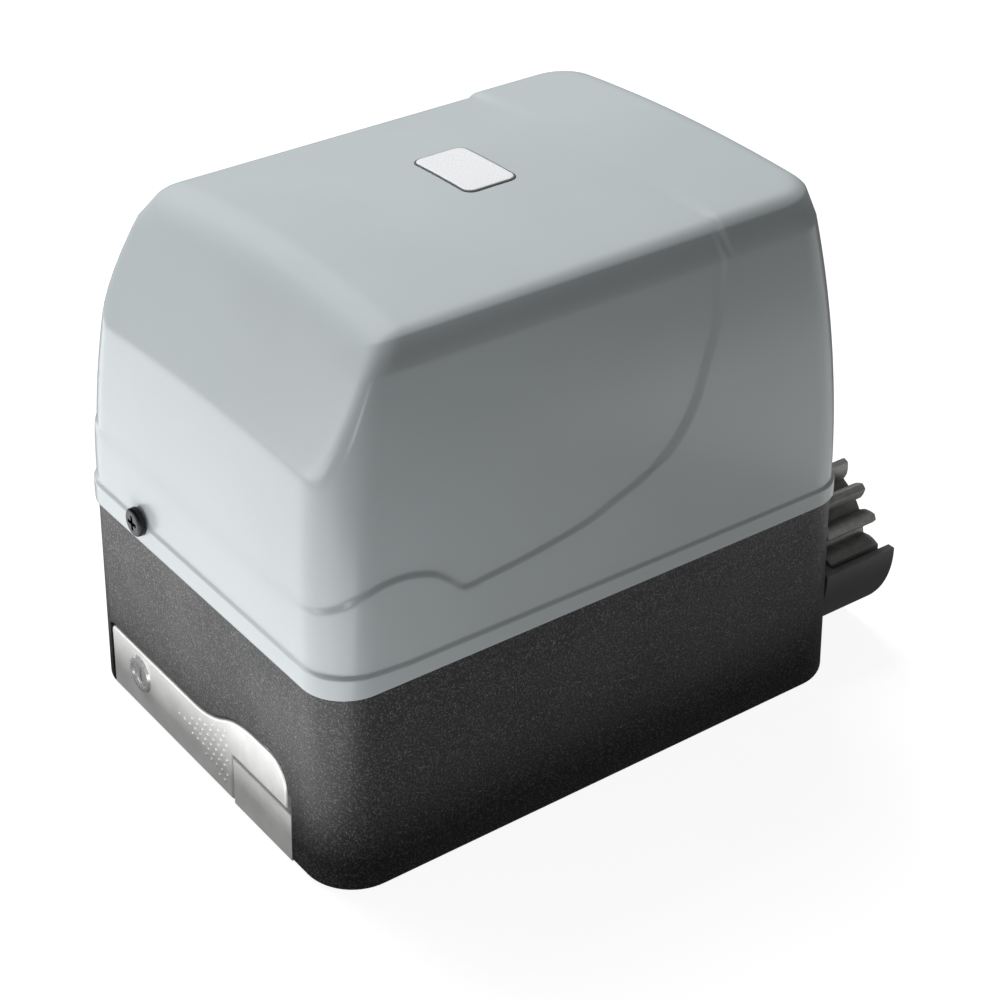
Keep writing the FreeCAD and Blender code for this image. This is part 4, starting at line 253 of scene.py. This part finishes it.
def laminated(name, colour):
    """Stacked sheets: half-millimetre lines across Z under a thin varnish."""
    finish = Finish(name, Metallic=0.6)
    lines = finish.noise(1.0, 1.0, 0.5, where=finish.stretched(3.0, 3.0, 1900.0))
    cloud = finish.noise(0.012, 3.0)
    finish.paint(Base_Color=finish.mix(lines, [c * 0.6 for c in colour[:3]] + [1], colour),
                 Roughness=0.42 + 0.2 * (cloud - 0.5))
    finish.bump(lines, 0.25, 0.0003)
    return finish.material


def wound_copper(name):
    """Turns of enamelled wire: fine rings round Z with the reddish gloss of varnish."""
    finish = Finish(name, Metallic=0.85, Coat_Weight=0.4)
    turns = finish.noise(1.0, 1.0, 0.5, where=finish.stretched(160.0, 160.0, 1500.0))
    finish.paint(Base_Color=finish.mix(turns, (0.22, 0.07, 0.025, 1), (0.62, 0.25, 0.09, 1)),
                 Roughness=0.3 + 0.25 * turns)
    finish.bump(turns, 0.5, 0.0005)
    return finish.material


def circuit_board(name):
    """Solder mask over copper tracks: pale green where a track runs under the mask."""
    finish = Finish(name, Coat_Weight=0.3)
    tracks = finish.node("ShaderNodeTexBrick", {
        "Vector": finish.where, "Scale": 160.0, "Mortar Size": 0.06, "Mortar Smooth": 0.1,
        "Color1": grey(0.0), "Color2": grey(0.15), "Mortar": grey(1.0)}, output="Fac")
    cloud = finish.noise(0.01, 2.0)
    finish.paint(Base_Color=finish.mix(tracks, (0.010, 0.10, 0.035, 1), (0.04, 0.24, 0.09, 1)),
                 Roughness=0.28 + 0.15 * cloud)
    finish.bump(tracks, 0.2, 0.0001)
    return finish.material


# %% One material for each of the record's slots
LINES_Y = (900.0, 25.0, 900.0)
slot_finish = {
    "base_plastic": grained_plastic("base_grain_painted_light", (0.013, 0.013, 0.015, 1)),
    "cover_plastic": cover_plastic(),
    "badge": moulded("badge_plate", (0.78, 0.79, 0.80, 1), 0.25, cloud_size=0.3),
    "black_steel": metal("black_steel", (0.045, 0.045, 0.048, 1), 0.38, 0.003),
    "zinc_steel": metal("zinc_steel", (0.62, 0.63, 0.62, 1), 0.30, 0.004),
    "cast_alloy": metal("cast_alloy", (0.70, 0.70, 0.69, 1), 0.40, 0.006, grain=0.0007, grain_bump=0.22),
    "pinion_steel": metal("pinion_steel", (0.40, 0.40, 0.385, 1), 0.50, 0.004, grain=0.0006,
                          grain_bump=0.3, metallic=0.6),
    "shaft_steel": metal("shaft_steel", (0.60, 0.60, 0.61, 1), 0.25, 0.005, LINES_Y),
    "bearing_steel": metal("bearing_steel", (0.66, 0.66, 0.67, 1), 0.18, 0.005, stain=0.1),
    "bronze": metal("bronze", (0.62, 0.38, 0.16, 1), 0.32, 0.005),
    "lock_metal": metal("lock_metal", (0.86, 0.86, 0.86, 1), 0.28, 0.003, stain=0.10, metallic=0.7),
    "laminations": laminated("laminations", (0.16, 0.17, 0.19, 1)),
    "copper": wound_copper("wound_copper"),
    "black_rubber": moulded("black_rubber", (0.022, 0.022, 0.022, 1), 0.62, 0.0005, 0.2),
    "black_plastic": moulded("black_plastic", (0.026, 0.026, 0.028, 1), 0.36),
    "board_green": circuit_board("board_green"),
    "terminal_green": moulded("terminal_green", (0.05, 0.30, 0.10, 1), 0.45),
    "relay_plastic": moulded("relay_plastic", (0.035, 0.037, 0.04, 1), 0.35),
    "white_plastic": moulded("white_plastic", (0.74, 0.74, 0.71, 1), 0.35),
    "fuse_glass": moulded("fuse_glass", (0.45, 0.48, 0.48, 1), 0.12),
}
own_finish = {
    "release_lever": metal("lever_skin", (0.90, 0.90, 0.89, 1), 0.42, 0.012, grain=0.0008, grain_bump=0.12,
                           stain=0.10, metallic=0.45),
    "pinion_guard": moulded("guard_plastic", (0.075, 0.075, 0.078, 1), 0.38),
}
own_finish["pivot_block"] = own_finish["release_lever"]
slot_of = {s["node"]: s["material_slot"] for s in frame["record"]["subparts"]}
for name, obj in nodes.items():
    finish = own_finish.get(name, slot_finish[slot_of[name]])
    if not obj.data.materials:
        obj.data.materials.append(finish)
    for place in obj.material_slots:
        place.material = finish
print("finishes:", len(slot_finish), "on", len(nodes), "nodes")

# %% [markdown]
# ## Surfaces from formulas
# Every new piece is a grid of points worked out with numpy, as whole arrays, and joined with four-sided
# faces. Each row of the grid is a closed ring, and a fan of triangles closes the last one.

# %% From a grid of points to an object
def grid_faces(around, along, start=0):
    """Four-sided faces between neighbours of a grid whose rows are rings of `around` points each."""
    i = np.arange(around)
    j = np.arange(along - 1)[:, None]
    a = start + j * around + i
    b = start + j * around + (i + 1) % around
    return np.stack([a, b, b + around, a + around], axis=-1).reshape(-1, 4)


def fan_faces(first, around, tip):
    """Triangles from a ring whose first point is `first` to one point."""
    i = np.arange(around)
    return np.stack([first + i, first + (i + 1) % around, np.full(around, tip)], axis=1)


def object_from(name, points, faces, finish):
    """A mesh object from points in millimetres and a list of face arrays."""
    mesh = bpy.data.meshes.new(name)
    flat = [face for block in faces for face in np.asarray(block).tolist()]
    mesh.from_pydata((np.asarray(points) * MM).tolist(), [], flat)
    mesh.update()
    mesh.shade_smooth()
    obj = bpy.data.objects.new(name, mesh)
    bpy.context.collection.objects.link(obj)
    mesh.materials.append(finish)
    return obj


def show(obj, body, slot, *replaced):
    """Put a finished piece on its body, in place of the CAD nodes that it stands for. The slot is not used.
    """
    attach(obj, body)
    if replaced:
        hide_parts(*replaced)
    print(obj.name, len(obj.data.polygons), "faces")
    return obj


# %% [markdown]
# ## The cover's form as one field
# The cover is a moulding with no flat wall: its sides lean in along large arcs, the roof is crowned, the
# slant meets the roof in a soft crease, and every edge is rounded. A field is a good way to write such a
# form: a number for each point, negative inside and positive outside. Walls, slant and roof each have a
# simple field, and a rounded maximum joins them with a fillet of the right radius.

# %% Joining fields with a fillet
FULL_TURN = 1 - math.cos(math.pi / 4)


def rounded_max(a, b, radius):
    """Inside both: the larger of two fields, with a fillet where both are nearly zero. It is the larger one
    until both are above -radius, and then the distance from the fillet's centre less the radius."""
    u, v = np.maximum(a + radius, 0), np.maximum(b + radius, 0)
    return np.minimum(np.maximum(a, b), -radius) + np.hypot(u, v)


def fillet_for(radius, turn):
    """The radius to give rounded_max so that it cuts as deep as a true fillet where the faces turn less
    than a right angle."""
    return np.maximum(radius * (1 - np.cos(turn / 2)) / FULL_TURN, 0.05)


def rise(x, low, high):
    """0 below low, 1 above high and a smooth S between them."""
    t = np.clip((x - low) / (high - low), 0, 1)
    return t * t * (3 - 2 * t)


# %% The cover's sizes
cover_low, cover_high = (np.array(corner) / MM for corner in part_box("cover"))
HALF_X = (cover_high[0] - cover_low[0]) / 2
HALF_Y = 127.0
SEAM_Z = cover_low[2]
REAR_RISE = 2.1
ROOF_Z = cover_high[2] - REAR_RISE
RIM_TOP_SIDE, RIM_TOP_FRONT = 7.6, 9.6
RIM_PROUD = 1.0
RIM_CLIMB = (90.0, 122.0)
RIM_ROUND_BELOW, RIM_ROUND_ABOVE = 0.5, 0.7
SIDE_BOW, FRONT_BOW = 725.0, 540.0
CORNER_ROUND, EDGE_ROUND, CREASE_ROUND = 19.0, 8.0, 22.0
FRONT_CROWN, REAR_CROWN, SLANT_CROWN = 580.0, 750.0, 1600.0
SIDE_STEP, FRONT_STEP, STEP_FADE = 1.1, 0.35, 6.0
STEP_HALF, STEP_HALF_ON_ROOF = 1.0, 4.0
ROOF_STARTS, ROOF_SOFTENS = 80.0, 62.0
WALL = 2.5
CREST = np.array([-90.0, ROOF_Z])
SLANT_FOOT = np.array([-116.5, ROOF_Z - 46.5])
ROOF_REAR = np.array([120.0, ROOF_Z + 3.2])
print("cover:", round(2 * HALF_X, 1), "x", round(2 * HALF_Y, 1), "seam", round(SEAM_Z, 1),
      "roof", round(ROOF_Z, 1))


# %% [markdown]
# The lower rear of each flank stands a little proud of the upper front. The line between them falls from
# the roof in a long sweep, dips to a valley and ends in a short hump near the front corner. Its signed
# distance gives a soft step: the share of the proud skin at each point.

# %% The style line and the share of the proud flank
STYLE_SPOTS = np.array([
    (61.0, 300.0), (60.5, 226.0), (59.1, 216.9), (58.6, 206.8), (56.2, 194.5), (52.3, 182.4), (47.4, 170.4),
    (43.0, 159.4), (36.3, 149.1), (28.0, 140.7), (16.6, 134.6), (3.7, 129.9), (-10.6, 125.0),
    (-26.3, 122.2), (-41.7, 120.1), (-56.8, 118.8), (-66.5, 118.3), (-72.9, 123.6), (-80.0, 128.8),
    (-89.8, 131.9), (-99.7, 132.5), (-106.8, 131.2), (-115.0, 128.0), (-150.0, 110.0)])


def smooth_line(spots, count):
    """A Catmull-Rom curve through the spots, sampled evenly in its own parameter."""
    padded = np.vstack([2 * spots[0] - spots[1], spots, 2 * spots[-1] - spots[-2]])
    t = np.linspace(0, len(spots) - 1 - 1e-9, count)
    k = t.astype(int)
    f = (t - k)[:, None]
    p0, p1, p2, p3 = (padded[k + i] for i in range(4))
    return 0.5 * (2 * p1 + (p2 - p0) * f + (2 * p0 - 5 * p1 + 4 * p2 - p3) * f ** 2
                  + (3 * p1 - p0 - 3 * p2 + p3) * f ** 3)


style_line = smooth_line(STYLE_SPOTS, 360)


def style_distance(y, z):
    """Signed distance in the side view from the style line, positive behind and below it: the distance to
    the nearest of its short straight runs, with the side that the point lies on."""
    start, run = style_line[:-1], np.diff(style_line, axis=0)
    length = np.sum(run ** 2, axis=1)
    best = np.full(y.shape, 1e9)
    side = np.ones(y.shape)
    for (ay, az), (ry, rz), size in zip(start, run, length):
        dy, dz = y - ay, z - az
        share = np.clip((dy * ry + dz * rz) / size, 0, 1)
        away = np.hypot(dy - share * ry, dz - share * rz)
        nearer = away < best
        best = np.where(nearer, away, best)
        side = np.where(nearer, np.sign(dz * ry - dy * rz), side)
    return best * side


# %% The field of the whole cover
def lean(rise_above, bow):
    """How far a wall that starts upright has leant in after a rise, along an arc."""
    return bow - np.sqrt(np.maximum(bow ** 2 - rise_above ** 2, 1))


def bent_height(x, z, crown):
    """The height at mid width of the arc of radius crown that passes over this point."""
    centre = CREST[1] - crown
    return centre + np.hypot(x, z - centre)


def roof_field(x, y, z, crown, drop):
    """Below the slant and the roof: both are planes in the side view, bent round an axis along Y to crown
    them, the slant far less than the roof, and joined by a fillet."""
    slant = CREST - SLANT_FOOT
    flat = ROOF_REAR - CREST
    normals = [np.array([-line[1], line[0]]) / np.hypot(*line) for line in (slant, flat)]
    heights = bent_height(x, z, SLANT_CROWN), bent_height(x, z, crown)
    planes = [(y - CREST[0]) * n[0] + (h - CREST[1]) * n[1] for n, h in zip(normals, heights)]
    turn = np.arccos(normals[0] @ normals[1])
    field = rounded_max(*planes, fillet_for(CREASE_ROUND, turn))
    on_slant = np.clip(planes[0] - planes[1], -1, 1) * 0.5 + 0.5
    return field + drop, on_slant, normals


def cover_field(points, inner=False):
    """The cover's field: bowed walls with rounded upright corners, joined to the roof by a fillet. The
    outside has the rim band and the step of the flanks; the inside is one wall thickness smaller."""
    x, y, z = points.T
    on_roof = rise(-np.abs(x), -ROOF_STARTS, -ROOF_SOFTENS)
    soft = STEP_HALF + (STEP_HALF_ON_ROOF - STEP_HALF) * on_roof
    proud = rise(style_distance(y, z) / soft, -1.0, 1.0) if not inner else np.zeros(len(x))
    up = z - SEAM_Z
    wall = WALL if inner else 0.0
    rim_top = RIM_TOP_SIDE + (RIM_TOP_FRONT - RIM_TOP_SIDE) * rise(-y, *RIM_CLIMB)
    band = 0.0 if inner else RIM_PROUD * (1 - rise(up, rim_top - RIM_ROUND_BELOW, rim_top + RIM_ROUND_ABOVE))
    inset = RIM_PROUD - band + wall
    stepped_in = (1 - proud) * rise(up, rim_top, rim_top + STEP_FADE)
    side = np.abs(x) - (HALF_X - inset - SIDE_STEP * stepped_in - lean(up, SIDE_BOW))
    front = -y - (HALF_Y - inset - FRONT_STEP * stepped_in - lean(up, FRONT_BOW))
    back = y - (HALF_Y - inset - lean(up, SIDE_BOW))
    ends = np.maximum(front, back)
    corner = CORNER_ROUND - wall
    walls = rounded_max(side, ends, corner)
    crown = FRONT_CROWN + (REAR_CROWN - FRONT_CROWN) * proud
    roof, on_slant, normals = roof_field(x, y, z, crown, wall)
    u, v = np.maximum(side + corner, 1e-6), np.maximum(ends + corner, 1e-6)
    facing_y = np.where(front > back, -v, v) / np.hypot(u, v)
    roof_y = normals[0][0] * on_slant + normals[1][0] * (1 - on_slant)
    turn = np.arccos(np.clip(facing_y * roof_y, -1, 1))
    return rounded_max(walls, roof, fillet_for(EDGE_ROUND - wall, turn))


# %% [markdown]
# Points are found by shooting a ray from the axis through each point of a simple guide box and halving
# the interval until the field is zero. Rows on the walls lie level, so the rim's edge stays crisp, and
# rows on the roof close in to one point that the badge covers.

# %% Rays onto the field
def plan_ring(half_x, half_y, radius, count):
    """Points round a rounded rectangle, evenly spaced along its outline."""
    straight = np.array([2 * (half_y - radius), 2 * (half_x - radius)] * 2)
    arc = radius * math.pi / 2
    total = straight.sum() + 4 * arc
    s = (np.arange(count) / count) * total
    ring = np.empty((count, 2))
    begin = 0.0
    for k, (cx, cy) in enumerate(((1, 1), (-1, 1), (-1, -1), (1, -1))):
        run = straight[k]
        on_side = (s >= begin) & (s < begin + run)
        share = (s - begin) / run
        from_corner = np.array(((1, -1), (1, 1), (-1, 1), (-1, -1))[k]) * (half_x - radius, half_y - radius)
        to_corner = np.array((cx, cy)) * (half_x - radius, half_y - radius)
        outward = np.array(((1, 0), (0, 1), (-1, 0), (0, -1))[k])
        line = from_corner + share[:, None] * (to_corner - from_corner) + outward * radius
        ring[on_side] = line[on_side]
        on_arc = (s >= begin + run) & (s < begin + run + arc)
        angle = math.pi / 2 * k + (s - begin - run) / radius
        bend = to_corner + radius * np.stack([np.cos(angle), np.sin(angle)], axis=1)
        ring[on_arc] = bend[on_arc]
        begin += run + arc
    return ring


def close_ring(half_x, half_y, radius, count):
    """The same ring with its points three times closer where the style line climbs the flanks."""
    fine = plan_ring(half_x, half_y, radius, 6000)
    climbs = ((fine[:, 1] > 18) & (fine[:, 1] < 100)) | ((fine[:, 1] > -88) & (fine[:, 1] < -62))
    near = (np.abs(fine[:, 0]) > 80) & climbs
    weight = np.cumsum(np.where(near, 3.0, 1.0))
    pick = np.interp(np.arange(count) * weight[-1] / count, weight, np.arange(6000))
    return fine[pick.astype(int)]


AIM_X, AIM_Y = -9.0, 7.0
AIM_TOP = 150.0
FAR = 1.6


def shoot(ring, heights, scales, field, steps=34):
    """Rows of points where rays from the axis meet the field's zero, found by halving."""
    z = np.repeat(heights, len(ring))
    share = np.repeat(scales, len(ring))[:, None]
    flat = np.tile(ring, (len(heights), 1)) * share + (1 - share) * np.array([AIM_X, AIM_Y])
    target = np.column_stack([flat, z])
    origin = np.column_stack([np.full(len(z), AIM_X), np.full(len(z), AIM_Y), np.minimum(z, AIM_TOP)])
    low, high = np.zeros(len(z)), np.full(len(z), FAR)
    for _ in range(steps):
        middle = (low + high) / 2
        outside = field(origin + (target - origin) * middle[:, None]) > 0
        high = np.where(outside, middle, high)
        low = np.where(outside, low, middle)
    return origin + (target - origin) * low[:, None]


# %% Build the cover
def cover_shell(around=540, name="cover_shell"):
    """Outer and inner skins of the cover, joined round the foot of the rim."""
    ring = close_ring(88.0, 120.0, 24.0, around)
    rim_rows = SEAM_Z + np.arange(0.8, 12.0, 0.7)
    low_rows, upper_rows = np.arange(102.5, 117.0, 2.2), np.arange(139.0, 214.0, 2.3)
    style_rows = np.arange(117.2, 138.0, 0.75)
    walls = np.concatenate([[SEAM_Z + 0.25], rim_rows, low_rows, style_rows, upper_rows])
    inward = np.linspace(1.0, 0.03, 50)[1:]
    heights = np.concatenate([walls, np.full(len(inward), 224.0)])
    scales = np.concatenate([np.ones(len(walls)), inward])
    outer = shoot(ring, heights, scales, cover_field)
    foot = outer[:around] * (0.9975, 0.9975, 1) - (0, 0, 0.25)
    inside_walls = np.concatenate([[SEAM_Z], np.arange(SEAM_Z + 8, 208, 9.0)])
    inside_inward = np.linspace(1.0, 0.04, 15)[1:]
    inner = shoot(ring, np.concatenate([inside_walls, np.full(len(inside_inward), 220.0)]),
                  np.concatenate([np.ones(len(inside_walls)), inside_inward]),
                  lambda p: cover_field(p, inner=True))
    rows_out = len(heights) + 1
    rows_in = len(inner) // around
    skin = np.vstack([foot, outer])
    points = np.vstack([skin, inner, skin[-around:].mean(axis=0), inner[-around:].mean(axis=0)])
    first_in = rows_out * around
    faces_out = grid_faces(around, rows_out)
    faces_in = grid_faces(around, rows_in, start=first_in)[:, ::-1]
    i = np.arange(around)
    after = (i + 1) % around
    joint = np.stack([first_in + i, first_in + after, after, i], axis=1)
    fan_out = fan_faces((rows_out - 1) * around, around, len(points) - 2)
    fan_in = fan_faces(first_in + (rows_in - 1) * around, around, len(points) - 1)[:, [1, 0, 2]]
    return object_from(name, points, [faces_out, faces_in, joint, fan_out, fan_in],
                       slot_finish["cover_plastic"])


cover_piece = cover_shell()
show(cover_piece, "cover", "cover_plastic", "cover")


# %% [markdown]
# ## The badge plate
# A plain plate lies in the middle of the roof and follows its crown: a dark edge all round and a silver
# face a little higher. Both are rings drawn closer and closer, laid on the cover's field.

# %% Badge
def roof_height(x, y):
    """The height of the cover's outside over each spot of the plan, found by halving."""
    low, high = np.full(x.shape, 190.0), np.full(x.shape, 240.0)
    for _ in range(30):
        middle = (low + high) / 2
        outside = cover_field(np.column_stack([x, y, middle])) > 0
        high = np.where(outside, middle, high)
        low = np.where(outside, low, middle)
    return low


def plate_on_roof(name, half_x, half_y, radius, proud, finish, around=96):
    """A thin plate with a rounded rim that follows the roof."""
    outline = plan_ring(half_x, half_y, radius, around)
    scales = np.concatenate([[1.0, 1.0, 0.992, 0.975], np.linspace(0.9, 0.02, 8)])
    lifts = np.concatenate([[-0.5, proud - 0.25, proud - 0.07, proud], np.full(8, proud)])
    flat = (outline * scales[:, None, None]).reshape(-1, 2) + (AIM_X, AIM_Y)
    z = roof_height(flat[:, 0], flat[:, 1]) + np.repeat(lifts, around)
    points = np.column_stack([flat, z])
    fan = fan_faces((len(scales) - 1) * around, around, len(points))
    points = np.vstack([points, points[-around:].mean(axis=0)])
    return object_from(name, points, [grid_faces(around, len(scales)), fan], finish)


edge_finish = moulded("badge_edge", (0.10, 0.105, 0.11, 1), 0.35)
show(plate_on_roof("badge_rim", 19.4, 12.4, 4.4, 0.35, edge_finish), "cover", "black_plastic")
show(plate_on_roof("badge_face", 18.6, 11.6, 3.8, 0.6, slot_finish["badge"]), "cover", "badge", "cover_badge")


# %% [markdown]
# ## Marks on the release lever
# Low round studs on the lever's face help the fingers to pull it. They sit in rows that shorten toward
# the foot, on the face itself: a ray from the front finds its place at each stud.

# %% Studs
def front_of(node, x, z):
    """The depth in millimetres of a node's front face at a place of the front view."""
    hit, spot, _, _ = nodes[node].ray_cast((x * MM, -0.4, z * MM), (0.0, 1.0, 0.0))
    return spot.y / MM if hit else None


def domes(name, spots, radius, height, finish, around=14):
    """One mesh of low domes that face the front, one at each (x, y, z)."""
    angle = np.arange(around) / around * 2 * math.pi
    reach = np.array([1.0, 0.85, 0.55, 0.25])
    lift = height * (1 - reach ** 2)
    lift[0] = -0.15
    ring = np.stack([np.cos(angle), np.zeros(around), np.sin(angle)], axis=1)
    dome = (ring * reach[:, None, None] * radius - lift[:, None, None] * np.array([0, 1, 0])).reshape(-1, 3)
    dome = np.vstack([dome, (0, -height, 0)])
    faces = grid_faces(around, len(reach))
    fan = fan_faces((len(reach) - 1) * around, around, len(reach) * around)
    points = np.vstack([dome + spot for spot in spots])
    steps = np.arange(len(spots)) * len(dome)
    return object_from(name, points, [np.concatenate([faces + s for s in steps]),
                                      np.concatenate([fan + s for s in steps])], finish)


STUD_PITCH, STUD_RADIUS, STUD_HEIGHT = 4.2, 0.95, 0.45
ROW_PITCH = 0.866 * STUD_PITCH
STUDS_LEFT, STUDS_RIGHT, STUDS_TOP = -20.5, 17.4, 33.0
BODY_FRONT = -120
stud_spots = []
for row in range(8):
    z = STUDS_TOP - ROW_PITCH * row
    for place in range(10):
        x = STUDS_LEFT + STUD_PITCH * (place + 0.5 * (row % 2))
        below_top = z < 18.6 + (x - STUDS_LEFT) * 0.45
        above_foot = z > 17.4 - (x - STUDS_LEFT) * 0.33
        if below_top and above_foot and x < STUDS_RIGHT:
            depth = front_of("release_lever", x, z)
            if depth is not None and depth < BODY_FRONT:
                stud_spots.append((x, depth, z))
studs = domes("lever_studs", stud_spots, STUD_RADIUS, STUD_HEIGHT, own_finish["release_lever"])
show(studs, "lever", "cast_alloy")
print("studs:", len(stud_spots))


# %% [markdown]
# ## The clutch spring
# The spring behind the clutch gets shorter as the lever pulls the clutch back. A copy of its coil, with a
# mesh of its own, is put on the output body in place of the CAD spring.

# %% Copy of the clutch spring
spring = nodes["clutch_spring"].copy()
spring.data = spring.data.copy()
spring.name = "pressed_spring"
bpy.context.collection.objects.link(spring)
show(spring, "output", "bearing_steel", "clutch_spring")
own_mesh(spring)

# %% [markdown]
# ## Floor, lights and camera
# The product stands on a white studio table. One large soft lamp high on the left lights the roof, a low
# one lights the front, and a narrow one draws a bright line along the edge between slant and flank. A
# white floor also throws light back up. Lamps that lie on the floor stand in for that, brightest in
# front, so the flank is lighter near its foot and the step across it reads as a dark line.

# %% Floor
def floor():
    """A white sheet in the plane z = 0, larger than the view, that glows a little so shadows stay soft."""
    side = 14.0
    mesh = bpy.data.meshes.new("floor")
    corners = [(-side, -side, 0), (side, -side, 0), (side, side, 0), (-side, side, 0)]
    mesh.from_pydata([(x, y, z) for x, y, z in corners], [], [(0, 1, 2, 3)])
    obj = bpy.data.objects.new("floor", mesh)
    bpy.context.collection.objects.link(obj)
    finish = Finish("floor_white", Emission_Strength=1.0)
    shade = finish.noise(0.4, 2.0)
    finish.paint(Base_Color=finish.mix(shade, (0.15, 0.15, 0.15, 1), (0.17, 0.17, 0.17, 1)),
                 Emission_Color=finish.mix(shade, (0.91, 0.91, 0.91, 1), (0.93, 0.93, 0.93, 1)),
                 Roughness=0.6 + 0.1 * shade)
    obj.data.materials.append(finish.material)
    obj.visible_diffuse = False
    obj.visible_glossy = False
    return obj


floor()


# %% Lamps
def lamp(name, place, aim, size, power):
    """A square area lamp at a place, facing an aim point, both in metres."""
    light = bpy.data.lights.new(name, "AREA")
    light.shape = "RECTANGLE"
    light.size, light.size_y = size
    light.energy = power
    obj = bpy.data.objects.new(name, light)
    obj.location = place
    obj.rotation_euler = (Vector(aim) - Vector(place)).to_track_quat("-Z", "Y").to_euler()
    bpy.context.collection.objects.link(obj)
    return obj


def floor_glow(name, place, size, power):
    """A lamp that lies on the floor and faces up: the light that a bright floor throws back."""
    obj = lamp(name, place, (place[0], place[1], 1.0), size, power)
    obj.rotation_euler = (math.pi, 0.0, 0.0)
    obj.visible_camera = False
    return obj


MIDDLE = (0.0, 0.0, 0.11)
top_lamp = lamp("top_lamp", (-2.4, 0.2, 3.0), MIDDLE, (2.8, 2.8), 240)
top_lamp.visible_glossy = False
lamp("front_lamp", (-0.7, -1.9, 0.3), MIDDLE, (1.6, 0.5), 10)
lamp("edge_strip", (1.49, -1.48, 0.64), MIDDLE, (0.16, 0.6), 3.4)
floor_glow("front_glow", (-0.1, -0.50, 0.012), (1.1, 0.70), 4.8)
floor_glow("right_glow", (0.30, 0.0, 0.012), (0.36, 1.0), 0.42)
floor_glow("rear_glow", (0.28, 0.62, 0.012), (0.5, 0.8), 1.0)
world = bpy.data.worlds.new("studio")
world.use_nodes = True
backdrop = world.node_tree.nodes["Background"]
backdrop.inputs["Color"].default_value = (1, 1, 1, 1)
backdrop.inputs["Strength"].default_value = 0.10
bpy.context.scene.world = world


# %% Camera
CAMERA_PLACE = (0.65013, -0.46053, 0.58022)
CAMERA_FORWARD = (-0.6837, 0.5029, -0.5289)
CAMERA_ROLL = math.radians(0.16)
view_lens = bpy.data.cameras.new("camera")
view_lens.lens = 82.0
view_lens.sensor_width = 36.0
camera = bpy.data.objects.new("camera", view_lens)
camera.location = CAMERA_PLACE
turn = Vector(CAMERA_FORWARD).to_track_quat("-Z", "Y")
camera.rotation_euler = turn.to_euler()
camera.rotation_euler.rotate_axis("Z", CAMERA_ROLL)
bpy.context.collection.objects.link(camera)
bpy.context.scene.camera = camera
bpy.context.scene.view_settings.view_transform = "Standard"
